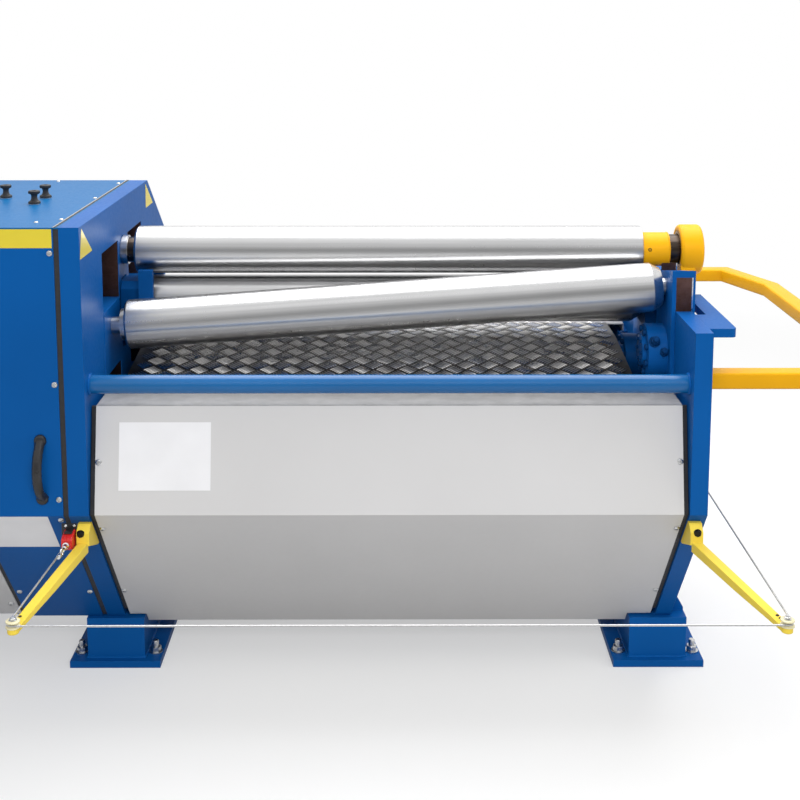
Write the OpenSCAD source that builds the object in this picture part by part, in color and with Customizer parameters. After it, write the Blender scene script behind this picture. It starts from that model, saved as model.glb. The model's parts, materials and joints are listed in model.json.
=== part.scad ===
// Four-roll plate bending machine with a tilting drop end.
// X runs along the rolls, Y from the front to the rear, Z up. The floor is at Z = 0.

/* [Frame plates] */
// Thickness of the left frame plate
left_t = 45; // [30:1:60]
// Thickness of the right frame plate
right_t = 40; // [30:1:60]
// Depth of both frame plates from front to rear
frame_depth = 1005; // [960:1:1150]
// Height of the bend where the plates start to slope in
knee_z = 530; // [450:1:580]
// How far the front and rear edges slope in below the bend
foot_in = 334; // [250:1:350]
// Height of the left plate
left_top = 1190; // [1160:1:1300]
// Depth of the level top edge of the left plate
left_top_depth = 770; // [600:1:850]
// Height of the rear upper corner of the left plate
rear_corner_z = 1020; // [900:1:1100]
// Height of the right plate
right_top = 952; // [945:1:960]
// Diameter of the two tie tubes
tie_d = 42.4; // [30:0.1:60]
// Height of the tie tubes
tie_z = 822; // [812:1:832]
// Distance of each tie tube from the edge of the plates
tie_in = 50; // [40:1:60]

/* [Rolls] */
// Diameter of every roll
roll_d = 120; // [90:1:124]
// Distance of the top roll from the front edge of the plates
top_y = 436.5; // [425:0.5:450]
// Height of the top roll
top_z = 1058; // [1050:1:1066]
// Gap between the top and the bottom roll
pinch_gap = 6; // [6:0.5:12]
// Distance of the side rolls before and behind the top roll
side_offset = 145; // [142:1:155]
// Height of the front roll at the middle of its length
front_z = 946; // [940:1:952]
// Tilt of the front roll, right end up
front_tilt = 4.1; // [0:0.1:4.5]
// Height of the lowered rear roll
rear_z = 895; // [890:1:900]
// Length of the steel body of the top roll, which sets the width of the machine
top_len = 1275; // [900:1:2200]
// Diameter of the journals of the three lower rolls
journal_d = 42; // [30:1:50]
// Diameter of the shoulders beside the roll bodies
shoulder_d = 79; // [60:1:84]
// Diameter of the drive journal of the top roll
drive_journal_d = 68; // [50:1:72]
// Length of the painted sleeve on the top roll
sleeve_len = 70; // [50:1:75]
// Diameter of the painted sleeve
sleeve_d = 86; // [80:1:95]

/* [Guides] */
// Width of the guide windows in the frame plates
window_w = 175; // [150:1:178]
// Bottom of the windows in the left plate
left_window_z = 700; // [660:1:730]
// Top of the windows in the left plate
left_window_top = 1092; // [1085:1:1100]
// Bottom of the windows in the right plate
right_window_z = 600; // [580:1:604]
// Running clearance of a carriage in its window
guide_clear = 0.5; // [0.3:0.1:1]
// Height of the left side-roll carriages
left_carriage_h = 160; // [130:1:170]
// Height of the right side-roll carriages
right_carriage_h = 293; // [280:1:300]
// How far a carriage stands proud of the inner face of its plate
cheek_in = 10; // [6:1:12]
// How far a right carriage stands proud of the outer face
cheek_out = 5.5; // [3:0.5:6]
// Diameter of the round flange on a right carriage
flange_d = 130; // [100:1:140]
// Thickness of the round flange
flange_t = 46; // [30:1:50]
// Width of the guide key of a bottom carriage
key_w = 60; // [54:1:64]
// Depth of the bearing block of a bottom carriage
block_w = 106; // [90:1:106]

/* [Drop end] */
// Outer diameter of the yoke ring
yoke_d = 126; // [116:1:130]
// Width of the yoke along the roll
yoke_w = 57; // [50:1:60]
// Diameter of the end journal of the top roll
end_journal_d = 76; // [64:1:78]
// Radial room between the end journal and the yoke bush
yoke_clear = 2; // [2:0.1:3]
// Wall of the yoke bush
bush_wall = 6; // [4:1:8]
// Height of the pivot of the yoke
pivot_z = 720; // [705:1:735]
// Diameter of the pivot pin
pin_d = 30; // [20:1:36]
// Width of the yoke arm from front to rear
arm_w = 69; // [60:1:70]
// Thickness of each pivot lug
lug_t = 16; // [10:1:16]
// Width of the side shelves beside the right plate
shelf_w = 62; // [56:1:70]
// Thickness of the side shelves
shelf_t = 20; // [12:1:24]

/* [Covers] */
// Thickness of the sheet covers
sheet_t = 3; // [2:0.5:4]
// Height of the top of the front and rear covers
cover_top = 770; // [762:1:776]
// Height of the lower edge of the front and rear covers
cover_bottom = 100; // [90:1:105]
// How far the top edge of a cover stands behind its bend
cover_lean = 51; // [30:1:60]
// Depth to which the top flange of a cover runs in
cover_flange = 200; // [180:1:210]
// Gap beside a cover
cover_gap = 12; // [8:1:16]
// Depth of the folded side flanges of a cover
side_flange = 22; // [15:1:25]
// Thickness of the chequer plate
tread_t = 5; // [3:0.5:8]
// Width left open between the chequer plate and the left frame plate
tread_gap_left = 33; // [20:1:40]
// Width left open between the chequer plate and the right frame plate
tread_gap_right = 82; // [80:1:100]

/* [Cabinet] */
// Width of the drive cabinet beside the left plate
cabinet_w = 700; // [500:1:1000]
// Width of the front sheet beside the left plate
front_sheet_w = 195; // [150:1:240]
// Height of the top of the grey panel
panel_top = 976; // [900:1:1040]
// Thickness of the end plate of the cabinet
end_plate_t = 8; // [5:1:15]
// Width of the bands on which the cabinet covers sit
band_w = 30; // [20:1:40]
// Height of the front handle
handle_h = 148; // [120:1:180]
// Reach of the front handle
handle_reach = 48; // [36:1:60]
// Diameter of the buffers on the cabinet
buffer_d = 30; // [22:1:36]
// Height of the buffers
buffer_h = 33; // [25:1:40]

/* [Trip wire] */
// How far the arms reach before the front and behind the rear
arm_reach = 405; // [300:1:450]
// Size of the square tube of an arm
arm_size = 25; // [18:1:28]
// Height of the wire
wire_z = 480; // [470:1:490]
// Diameter of the wire
wire_d = 4; // [3:0.5:6]

/* [Guard rail] */
// Reach of the guard rail beside the right plate
rail_reach = 484; // [470:1:600]
// Width of the rail tube
rail_w = 50; // [40:1:56]
// Height of the rail tube
rail_h = 40; // [30:1:50]
// Height of the top of the rail
rail_top = 820; // [800:1:840]
// Distance of the front bar from the front edge of the plates
rail_front = 139; // [130:1:145]
// Distance of the rear bar behind the rear edge of the plates
rail_rear = 362; // [200:1:400]

/* [Feet] */
// Height of the feet
foot_h = 124; // [110:1:130]
// Width of the feet
foot_w = 146; // [130:1:160]
// Width of the floor pads under the feet
pad_w = 230; // [220:1:250]
// Thickness of the floor pads
pad_t = 18; // [12:1:24]
// Diameter of the anchor holes
anchor_d = 18; // [12:1:22]

/* [Hidden] */

blue = "#1e4a8b";
deep_blue = "#1b3f7c";
yellow = "#f4b415";
cover_grey = "#d0cfcf";
steel = "#c9cbcc";
dark_steel = "#5a5c5e";
black = "#1c1d1f";

round_fn = 96;
small_fn = 32;
// Clearance of a shaft in its bore, and of a piece that is held
fit = 0.05;

// Room beside the ends of the rolls, at the left plate and at the right plate
roll_room_l = 38;
top_room_r = 44;
side_room_r = 19;
frame_gap = roll_room_l + top_len + top_room_r;
side_len = frame_gap - roll_room_l - side_room_r;

in_l = -frame_gap / 2;
in_r = frame_gap / 2;
out_l = in_l - left_t;
out_r = in_r + right_t;
end_x = out_l - cabinet_w;

roll_r = roll_d / 2;
bottom_z = top_z - roll_d - pinch_gap;
front_y = top_y - side_offset;
rear_y = top_y + side_offset;

// Ends of the roll bodies
top_left_x = in_l + roll_room_l;
top_right_x = top_left_x + top_len;
side_left_x = in_l + roll_room_l;
bottom_room_l = 72.5;
bottom_left_x = in_l + bottom_room_l;
bottom_right_x = in_r - top_room_r;

// Yoke: the ring stands clear of the right plate
yoke_room = 11;
yoke_x = out_r + yoke_room;
pivot_x = yoke_x + yoke_w / 2;
lug_gap = 2;

// Guard rail and trip wire reach, which set the outline of the whole machine
rail_x = out_r + rail_reach;
wire_pulley_r = 8;
tip_out_l = 6.5;
tip_out_r = 58;
tip_x_l = out_l - tip_out_l;
tip_x_r = out_r + tip_out_r;
arm_end = 13;
centre_x = (end_x + rail_x) / 2;
centre_y = frame_depth / 2;

// ---------- helpers ----------

// Puts machine coordinates on the origin under the middle of the outline
module placed() {
    translate([-centre_x, -centre_y, 0]) children();
}

// Copies a piece from the front to the rear
module mirrored_rear(middle) {
    translate([0, 2 * middle, 0]) mirror([0, 1, 0]) children();
}

// Extrudes a Y-Z profile along X
module along_x(x, length) {
    translate([x, 0, 0]) rotate([90, 0, 90]) linear_extrude(length) children();
}

// Extrudes an X-Z profile along Y
module along_y(y, length) {
    translate([0, y + length, 0]) rotate([90, 0, 0]) linear_extrude(length) children();
}

module rod_x(x, y, z, r, length) {
    translate([x, y, z]) rotate([0, 90, 0]) cylinder(h = length, r = r, $fn = round_fn);
}

module rod_y(x, y, z, r, length) {
    translate([x, y, z]) rotate([-90, 0, 0]) cylinder(h = length, r = r, $fn = round_fn);
}

// A turned shaft along X from a list of [distance, radius]
module turned(steps) {
    last = len(steps) - 1;
    rotate([0, 90, 0]) rotate_extrude($fn = round_fn) polygon(concat(
        [[0, steps[0].x]], [for (s = steps) [s.y, s.x]], [[0, steps[last].x]]));
}

// Unit normal to the right of the way from a to b
function right_of(a, b) = let (d = b - a) [d.y, -d.x] / norm(d);
function mitre(p, n1, n2, t) = let (m = n1 + n2) p + m * (2 * t / (m * m));

// Corner i of an open path, moved to the right by t
function moved_corner(path, t, i) = let (last = len(path) - 1)
    mitre(path[i],
        right_of(path[max(i - 1, 0)], path[max(i, 1)]),
        right_of(path[min(i, last - 1)], path[min(i + 1, last)]), t);
function moved(path, t) = [for (i = [0:len(path) - 1]) moved_corner(path, t, i)];

// Outline of a sheet of thickness t along an open path
function folded(path, t) = let (inner = moved(path, t), last = len(path) - 1)
    concat(path, [for (i = [last:-1:0]) inner[i]]);

// A closed clockwise outline, shrunk by t
function shrunk(path, t) = let (n = len(path))
    [for (i = [0:n - 1]) let (p = path[i])
        mitre(p, right_of(path[(i + n - 1) % n], p), right_of(p, path[(i + 1) % n]), t)];

// ---------- frame plates ----------

left_outline = [
    [foot_in, foot_h], [0, knee_z], [0, left_top], [left_top_depth, left_top],
    [frame_depth, rear_corner_z], [frame_depth, knee_z], [frame_depth - foot_in, foot_h]];
right_outline = [
    [foot_in, foot_h], [0, knee_z], [0, right_top],
    [frame_depth, right_top], [frame_depth, knee_z], [frame_depth - foot_in, foot_h]];

// Front face of the sloping edge at height z
function slope_y(z) = foot_in * (knee_z - z) / (knee_z - foot_h);

// Outer face of the front cover, from its lower edge up and back
cover_face = 4;
function cover_corner(z) = [slope_y(z) + cover_face, z];
cover_path = [
    cover_corner(cover_bottom),
    cover_corner(knee_z),
    [cover_face + cover_lean, cover_top],
    [cover_flange, cover_top]];

// Welded strip behind a side flange of a cover, from the foot up
strip_path = concat([cover_corner(foot_h + 25)], [for (i = [1:3]) cover_path[i]]);
strip_t = 18;
strip_reach = cover_gap + 16;
module cover_strips(x) {
    strip = folded(moved(strip_path, side_flange), strip_t);
    along_x(x, strip_reach) polygon(strip);
    mirrored_rear(frame_depth / 2) along_x(x, strip_reach) polygon(strip);
}

module window(y, z, top) {
    translate([y - window_w / 2, z]) square([window_w, top - z]);
}

// Room for the key of a bottom carriage
key_z = bottom_z - 65;
key_top = bottom_z + 52;
lift_down = 50;
end_room = 5;
module key_slot(top) {
    low = key_z - lift_down - end_room;
    translate([top_y - key_w / 2 - guide_clear, low])
        square([key_w + 2 * guide_clear, top - low]);
}

module left_frame_plate() placed() color(blue) {
    difference() {
        along_x(out_l, left_t) difference() {
            polygon(left_outline);
            window(front_y, left_window_z, left_window_top);
            window(rear_y, left_window_z, left_window_top);
            key_slot(key_top + end_room);
        }
        rod_x(out_l - 1, top_y, top_z, drive_journal_d / 2 + fit, left_t + 2);
    }
    cover_strips(in_l);
}

module right_frame_plate() placed() color(blue) {
    along_x(in_r, right_t) difference() {
        polygon(right_outline);
        window(front_y, right_window_z, right_top + 1);
        window(rear_y, right_window_z, right_top + 1);
        key_slot(right_top + 1);
    }
    cover_strips(in_r - strip_reach);
}

// ---------- feet and base ----------

foot_margin = 15;
foot_y = foot_in - foot_margin;
foot_len = frame_depth - 2 * foot_y;
pad_margin = 20;
gusset_t = 12;
gusset_h = 60;
anchor_x = pad_w / 2 - 20;
anchor_y = foot_len / 2 - 30;

module foot(x) {
    box_h = foot_h - pad_t;
    difference() {
        translate([x - pad_w / 2, foot_y - pad_margin, 0])
            cube([pad_w, foot_len + 2 * pad_margin, pad_t]);
        for (side = [-1, 1], far = [-1, 1])
            translate([x + side * anchor_x, centre_y + far * anchor_y, -1])
                cylinder(h = pad_t + 2, d = anchor_d, $fn = small_fn);
    }
    translate([x - foot_w / 2, foot_y, pad_t]) cube([foot_w, foot_len, box_h]);
}

// Small triangles that steady a plate on its foot
module gussets(x, side) {
    reach = side * (foot_w / 2 - 35.5);
    for (y = [foot_in + 25, frame_depth - foot_in - 25 - gusset_t])
        along_y(y, gusset_t) polygon([
            [x, foot_h], [x + reach, foot_h], [x + reach, foot_h + 8], [x + side * 8, foot_h + gusset_h],
            [x, foot_h + gusset_h]]);
}

module left_foot() placed() color(blue) foot(out_l + left_t / 2);

// The right foot stands a little inward
right_foot_in = 15;
right_foot_x = out_r - right_t / 2 - right_foot_in;
module right_foot() placed() color(blue) {
    foot(right_foot_x);
    gussets(out_r, 1);
}

module cabinet_foot() placed() color(blue) foot(end_x + pad_w / 2);

// The beams and tie tubes are closed by the plates at both ends, and are drawn solid
beam_size = 80;
beam_in = 30;
beam_z = foot_h + 20;
module base_beams() placed() color(deep_blue)
    for (y = [foot_in + beam_in, frame_depth - foot_in - beam_in - beam_size])
        translate([in_l, y, beam_z]) cube([frame_gap, beam_size, beam_size]);

module tie_tube(y) {
    rod_x(in_l, y, tie_z, tie_d / 2, frame_gap);
}

module front_tie_tube() placed() color(blue) tie_tube(tie_in);
module rear_tie_tube() placed() color(blue) tie_tube(frame_depth - tie_in);

// ---------- covers ----------

tread_lap = 40;
module tread_plate() placed() color(dark_steel)
    translate([in_l + tread_gap_left, cover_flange - tread_lap, cover_top - sheet_t - tread_t])
        cube([frame_gap - tread_gap_left - tread_gap_right,
            frame_depth - 2 * (cover_flange - tread_lap), tread_t]);

// The sheet's lower edge runs between the feet as a narrower lip
lip_z = foot_h + 5;
lip_x = out_l + left_t / 2 + foot_w / 2 + 4;
lip_len = right_foot_x - foot_w / 2 - 4 - lip_x;
module cover() {
    x0 = in_l + cover_gap;
    width = frame_gap - 2 * cover_gap;
    bend = cover_corner(lip_z);
    wide = concat([bend], [for (i = [1:3]) cover_path[i]]);
    along_x(x0, width) polygon(folded(wide, sheet_t));
    for (x = [x0, x0 + width - sheet_t])
        along_x(x, sheet_t) polygon(folded(wide, side_flange));
    along_x(lip_x, lip_len) polygon(folded([cover_path[0], bend, cover_corner(lip_z + 20)], sheet_t));
}

module front_cover() placed() color(cover_grey) cover();
module rear_cover() placed() color(cover_grey) mirrored_rear(frame_depth / 2) cover();

// ---------- cabinet ----------

cabinet_in = cabinet_w - end_plate_t;
ring_t = 16;
floor_t = 6;

// The grey panel lies between two jambs, with an even gap all round
panel_gap = 10;
panel_in = 85;
panel_l = end_x + panel_in;
panel_r = out_l - cover_gap - front_sheet_w - panel_gap;
jamb = 15;
header_t = 25;

module cabinet_end_plate() placed() color(blue)
    along_x(end_x, end_plate_t) polygon(left_outline);

module cabinet_frame() placed() color(deep_blue) {
    band = shrunk(left_outline, sheet_t + fit);
    for (span = [[end_x + end_plate_t, panel_l + jamb], [panel_r - jamb, panel_r + panel_gap + jamb],
                 [out_l - ring_t, out_l]])
        along_x(span[0], span[1] - span[0]) difference() {
            polygon(band);
            polygon(shrunk(band, band_w));
        }
    translate([panel_l, sheet_t + fit, panel_top - jamb])
        cube([panel_r - panel_l, header_t, 2 * jamb + panel_gap]);
    low = band[0];
    translate([end_x + end_plate_t, low.x + 4, low.y])
        cube([cabinet_in, frame_depth - 2 * (low.x + 4), floor_t]);
}

// Sheets on both sides of the panel and above it
module cabinet_front_cover() placed() color(blue) {
    side = folded([[foot_in, foot_h], [0, knee_z], [0, left_top - sheet_t]], sheet_t);
    along_x(end_x + end_plate_t, panel_in - end_plate_t - panel_gap) polygon(side);
    along_x(panel_r + panel_gap, front_sheet_w) polygon(side);
    translate([panel_l - panel_gap - 1, 0, panel_top + panel_gap])
        cube([panel_r - panel_l + 2 * panel_gap + 2, sheet_t, left_top - sheet_t - panel_top - panel_gap]);
}

module cabinet_panel() placed() color(cover_grey) {
    panel_low = foot_h + panel_gap;
    along_x(panel_l, panel_r - panel_l)
        polygon(folded([[slope_y(panel_low), panel_low], [0, knee_z], [0, panel_top]], sheet_t));
}

module cabinet_top_cover() placed() color(blue)
    along_x(end_x + end_plate_t, cabinet_in) polygon(folded(
        [[0, left_top], [left_top_depth, left_top], [frame_depth, rear_corner_z]], sheet_t));

module cabinet_rear_cover() placed() color(blue)
    along_x(end_x + end_plate_t, cabinet_in) polygon(folded(
        [[frame_depth, rear_corner_z - 5], [frame_depth, knee_z], [frame_depth - foot_in, foot_h]],
        sheet_t));

// Arched bar handle with two round feet
handle_x = out_l - 57;
handle_z = 640;
handle_r = 9;
module cabinet_handle() placed() color(black) {
    chord = handle_h / 2 - handle_r;
    arc_r = (chord * chord + handle_reach * handle_reach) / (2 * handle_reach);
    half = asin(chord / arc_r);
    difference() {
        translate([handle_x, arc_r - handle_reach + handle_r, handle_z]) rotate([0, 90, 0])
            rotate([0, 0, 270 - half - 12]) rotate_extrude(angle = 2 * half + 24, $fn = round_fn)
                translate([arc_r, 0]) circle(r = handle_r, $fn = small_fn);
        translate([handle_x - 50, 0, handle_z - handle_h]) cube([100, 200, 2 * handle_h]);
    }
    for (side = [-1, 1])
        rod_y(handle_x, -6, handle_z + side * (chord + 3), handle_r + 5, 6);
}

// Spool-shaped rubber buffers
buffer_x = out_l - 147;
buffer_y = 340;
buffer_step = [-100, 100];
module buffer() {
    r = buffer_d / 2;
    rotate_extrude($fn = small_fn) polygon([
        [0, 0], [r, 0], [r, 5], [r * 0.55, 10], [r * 0.5, buffer_h - 10], [r * 0.9, buffer_h - 6],
        [r * 0.9, buffer_h], [0, buffer_h]]);
}

module top_buffers() placed() color(black)
    for (i = [0, 1], j = [0, 1])
        translate([buffer_x + i * buffer_step.x, buffer_y + j * buffer_step.y, left_top]) buffer();

// ---------- trip wire ----------

bracket_w = 29;
bracket_t = 12;
arm_sink = 6;
arm_root = 30;
root_side = 3;
bracket_lo = wire_z - 46;
bracket_hi = wire_z + 30;
nose_y = -14;
module trip_bracket(x) {
    along_x(x - bracket_w / 2, bracket_w) polygon([
        [slope_y(bracket_hi), bracket_hi], [slope_y(bracket_lo), bracket_lo],
        [slope_y(bracket_lo) - bracket_t, bracket_lo], [nose_y, wire_z - arm_size * 0.6],
        [nose_y, wire_z + arm_size * 0.6], [slope_y(bracket_hi) - bracket_t, bracket_hi]]);
}

// A square arm from a post to the pulley at its tip
pulley_h = 14;
module trip_arm(x, tip_x) {
    run = [tip_x - x, -arm_reach - nose_y];
    trip_bracket(x);
    translate([x, nose_y + arm_sink, wire_z - arm_size - pulley_h / 2]) rotate([0, 0, atan2(run.y, run.x)])
        translate([0, -arm_size / 2, 0]) cube([norm(run), arm_size, arm_size]);
    translate([x - bracket_w / 2 + root_side, nose_y, wire_z - arm_size - pulley_h / 2])
        cube([bracket_w - 2 * root_side, arm_root, arm_size]);
    translate([tip_x, -arm_reach, wire_z]) rotate_extrude($fn = small_fn) polygon([
        [0, -pulley_h / 2 - arm_size], [arm_end, -pulley_h / 2 - arm_size], [arm_end, -4],
        [wire_pulley_r, -wire_d / 2], [wire_pulley_r, wire_d / 2], [arm_end - 1, 4],
        [arm_end - 1, pulley_h / 2], [0, pulley_h / 2]]);
}

// The brackets stand on the inner part of the plates' front and rear edges
bracket_in = 12;
post_l = in_l - bracket_in;
post_r = in_r + bracket_in + 2;
module front_left_trip_arm() placed() color(yellow) trip_arm(post_l, tip_x_l);
module front_right_trip_arm() placed() color(yellow) trip_arm(post_r, tip_x_r);
module rear_left_trip_arm() placed() color(yellow)
    mirrored_rear(frame_depth / 2) trip_arm(post_l, tip_x_l);
module rear_right_trip_arm() placed() color(yellow)
    mirrored_rear(frame_depth / 2) trip_arm(post_r, tip_x_r);

// Box on the front of the left plate that holds the wire's end
switch_w = 27;
switch_x = out_l + 3;
switch_reach = 40;
anchor_reach = 12;
holder_top = wire_z + 22;
holder_low = wire_z - 20;
module wire_holder(reach) {
    along_x(switch_x - switch_w / 2, switch_w) polygon([
        [slope_y(holder_top), holder_top], [slope_y(holder_low), holder_low], [-reach, holder_low],
        [-reach, holder_top]]);
}

module limit_switch() placed() color("#b3201c") wire_holder(switch_reach);
module wire_anchor() placed() color(dark_steel) mirrored_rear(frame_depth / 2) wire_holder(anchor_reach);

// A level wire from a to b
module wire_run(a, b) {
    way = b - a;
    translate([a.x, a.y, 0]) rotate([0, 0, atan2(way.y, way.x)]) rotate([0, 90, 0])
        cylinder(h = norm(way), r = wire_d / 2, $fn = small_fn);
}

module trip_wire() placed() color(steel) {
    off = wire_pulley_r + wire_d / 2;
    r = wire_d / 2;
    far = frame_depth + arm_reach;
    translate([0, 0, wire_z]) {
        wire_run([tip_x_l, -arm_reach - off], [tip_x_r, -arm_reach - off]);
        wire_run([tip_x_l, far + off], [tip_x_r, far + off]);
        wire_run([tip_x_r + off, -arm_reach], [tip_x_r + off, far]);
        wire_run([tip_x_l - off, -arm_reach], [switch_x, -switch_reach]);
        wire_run([tip_x_l - off, far], [switch_x, frame_depth + anchor_reach]);
        for (c = [[tip_x_l, -arm_reach, 180], [tip_x_r, -arm_reach, 270],
                  [tip_x_r, far, 0], [tip_x_l, far, 90]])
            translate([c.x, c.y, 0]) rotate([0, 0, c.z]) rotate_extrude(angle = 90, $fn = small_fn)
                translate([off, 0]) circle(r = r, $fn = 16);
    }
}

// ---------- guard rail ----------

rail_corner = [93, 251];
module guard_rail() placed() color(yellow) {
    rear = frame_depth + rail_rear;
    leg_x = out_r - right_t / 2 - rail_w / 2;
    translate([0, 0, rail_top - rail_h]) linear_extrude(rail_h) polygon(folded([
        [leg_x, frame_depth], [leg_x, rear], [rail_x - rail_corner.x, rear],
        [rail_x, rear - rail_corner.y], [rail_x, rail_front + rail_corner.y],
        [rail_x - rail_corner.x, rail_front], [out_r, rail_front]], rail_w));
}

// ---------- drop end ----------

arm_y = top_y - arm_w / 2;
lug_y = arm_y - lug_gap - lug_t;
shelf_y = 40;
shelf_room = 17;
shelf_end = arm_y - shelf_room;
slot_room = 30;
slot_y = front_y - window_w / 2 - slot_room;
slot_w = 24;
shelf_round = 12;

module shelf() {
    translate([0, 0, right_top - shelf_t]) linear_extrude(shelf_t) difference() {
        union() {
            translate([out_r, shelf_y]) square([shelf_w - shelf_round, shelf_end - shelf_y]);
            translate([out_r, shelf_y + shelf_round])
                square([shelf_w, shelf_end - shelf_y - shelf_round]);
            translate([out_r + shelf_w - shelf_round, shelf_y + shelf_round])
                circle(r = shelf_round, $fn = small_fn);
        }
        translate([out_r - 1, slot_y]) square([slot_w + 1, shelf_end - slot_y + 1]);
    }
}

module front_shelf() placed() color(blue) shelf();
module rear_shelf() placed() color(blue) mirrored_rear(top_y) shelf();

base_t = 6;
lug_r = 30;
module lug(y) {
    difference() {
        union() {
            translate([out_r, y, pivot_z - lug_r]) cube([pivot_x - out_r, lug_t, 2 * lug_r]);
            rod_y(pivot_x, y, pivot_z, lug_r, lug_t);
        }
        rod_y(pivot_x, y - 1, pivot_z, pin_d / 2 + fit, lug_t + 2);
    }
}

module drop_end_lugs() placed() color(blue) {
    lug(lug_y);
    lug(2 * top_y - lug_y - lug_t);
    translate([out_r, lug_y, pivot_z - lug_r])
        cube([base_t, 2 * (top_y - lug_y), 2 * lug_r]);
}

module drop_end_pin() placed() color(steel) {
    rod_y(pivot_x, lug_y - 2, pivot_z, pin_d / 2, 2 * (top_y - lug_y) + 4);
    rod_y(pivot_x, lug_y - 8, pivot_z, pin_d / 2 + 5, 8 - fit);
}

module drop_end_yoke() placed() color(yellow) {
    bush_r = end_journal_d / 2 + yoke_clear + bush_wall;
    neck = 52;
    difference() {
        union() {
            rod_x(yoke_x, top_y, top_z, yoke_d / 2, yoke_w);
            along_x(yoke_x, yoke_w) polygon([
                [arm_y, pivot_z], [arm_y + arm_w, pivot_z], [arm_y + arm_w, top_z - 150],
                [top_y + neck, top_z - 30], [top_y - neck, top_z - 30], [arm_y, top_z - 150]]);
            rod_y(pivot_x, arm_y, pivot_z, yoke_w / 2, arm_w);
        }
        rod_x(yoke_x - 1, top_y, top_z, bush_r, yoke_w + 2);
        rod_y(pivot_x, arm_y - 1, pivot_z, pin_d / 2 + fit, arm_w + 2);
    }
}

module yoke_bush() placed() color("#b08d57") {
    bore_r = end_journal_d / 2 + yoke_clear;
    difference() {
        rod_x(yoke_x, top_y, top_z, bore_r + bush_wall, yoke_w);
        rod_x(yoke_x - 1, top_y, top_z, bore_r, yoke_w + 2);
    }
}

// ---------- rolls ----------

chamfer = 5;
module top_roll() placed() color(steel) translate([0, top_y, top_z]) {
    j = drive_journal_d / 2;
    e = end_journal_d / 2;
    tip = yoke_x + yoke_w - 11;
    turned([
        [out_l + 6, j - 3], [out_l + 9, j], [in_l + 2, j], [in_l + 2, j + 3],
        [in_l + 16, j + 3], [in_l + 16, j - 2], [top_left_x, j - 2],
        [top_left_x, roll_r - chamfer], [top_left_x + chamfer, roll_r],
        [top_right_x - 2, roll_r], [top_right_x, roll_r - 2], [top_right_x, e],
        [tip - chamfer, e], [tip, e - chamfer]]);
}

module top_roll_sleeve() placed() color(yellow) translate([0, top_y, top_z])
    difference() {
        rod_x(top_right_x, 0, 0, sleeve_d / 2, sleeve_len);
        rod_x(top_right_x - 1, 0, 0, end_journal_d / 2 + fit, sleeve_len + 2);
    }

// A lower roll from x0 to x1 with stepped journals that reach into the carriages
bevel = [24, 14];
module lower_roll(x0, x1) {
    j = journal_d / 2;
    s = shoulder_d / 2;
    reach_l = out_l + 12;
    reach_r = out_r - 8;
    turned([
        [reach_l, j - 2], [reach_l + 2, j], [x0 - 14, j], [x0 - 14, s], [x0, s],
        [x0, roll_r - chamfer], [x0 + chamfer, roll_r], [x1 - bevel.x, roll_r],
        [x1, roll_r - bevel.y], [x1, j + 6], [x1 + 4, j + 6], [x1 + 4, j],
        [reach_r - 2, j], [reach_r, j - 2]]);
}

module front_axis() {
    translate([0, front_y, front_z]) rotate([0, -front_tilt, 0]) children();
}

module rear_axis() {
    translate([0, rear_y, rear_z]) children();
}

module bottom_roll() placed() color(steel)
    translate([0, top_y, bottom_z]) lower_roll(bottom_left_x, bottom_right_x);

module front_roll() placed() color(steel)
    front_axis() lower_roll(side_left_x, side_left_x + side_len);

module rear_roll() placed() color(steel)
    rear_axis() lower_roll(side_left_x, side_left_x + side_len);

// ---------- carriages ----------

module journal_bore() {
    rod_x(out_l - 50, 0, 0, journal_d / 2 + fit, out_r - out_l + 100);
}

carriage_w = window_w - 2 * guide_clear;
module left_carriage(y, z) {
    translate([out_l + 6, y - carriage_w / 2, z - left_carriage_h * 2 / 3])
        cube([left_t - 6 + cheek_in, carriage_w, left_carriage_h]);
}

// A tall block with a head plate and a round flange below the roll
flange_drop = 161;
head_over = 54;
module right_carriage(y, z) {
    low = z + head_over - right_carriage_h;
    translate([in_r - cheek_in, y - carriage_w / 2, low])
        cube([right_t + cheek_in + cheek_out, carriage_w, right_carriage_h]);
    rod_x(in_r - cheek_in - flange_t, y, z - flange_drop, flange_d / 2, flange_t);
    rod_x(in_r - cheek_in - flange_t - 10, y, z - flange_drop, flange_d * 0.3, 10);
}

front_left_z = front_z + tan(front_tilt) * (out_l + left_t / 2);
front_right_z = front_z + tan(front_tilt) * (out_r - right_t / 2);

module front_left_carriage() placed() color(blue) difference() {
    left_carriage(front_y, front_left_z);
    front_axis() journal_bore();
}

module front_right_carriage() placed() color(blue) difference() {
    right_carriage(front_y, front_right_z);
    front_axis() journal_bore();
}

module rear_left_carriage() placed() color(blue) difference() {
    left_carriage(rear_y, rear_z);
    rear_axis() journal_bore();
}

module rear_right_carriage() placed() color(blue) difference() {
    right_carriage(rear_y, rear_z);
    rear_axis() journal_bore();
}

// Bearing block beside the plate, its key in the plate's slot
block_top = bottom_z + 52;
block_cut = 16;
finger_t = 15;
finger_len = 36;
finger_y = roll_r + 5;
finger_low = bottom_z - 30;
finger_h = 118;
module bottom_block(x, width, half) {
    along_x(x, width) polygon([
        [top_y - half, key_z], [top_y - half, block_top - block_cut],
        [top_y - half + block_cut, block_top], [top_y + half - block_cut, block_top],
        [top_y + half, block_top - block_cut], [top_y + half, key_z]]);
}

module key(x, width, top) {
    translate([x, top_y - key_w / 2, key_z]) cube([width, key_w, top - key_z]);
}

// A finger beside the end of the top roll
module finger(x) {
    translate([x, top_y - finger_y - finger_t, finger_low])
        cube([finger_len, finger_t, finger_h]);
}

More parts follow.
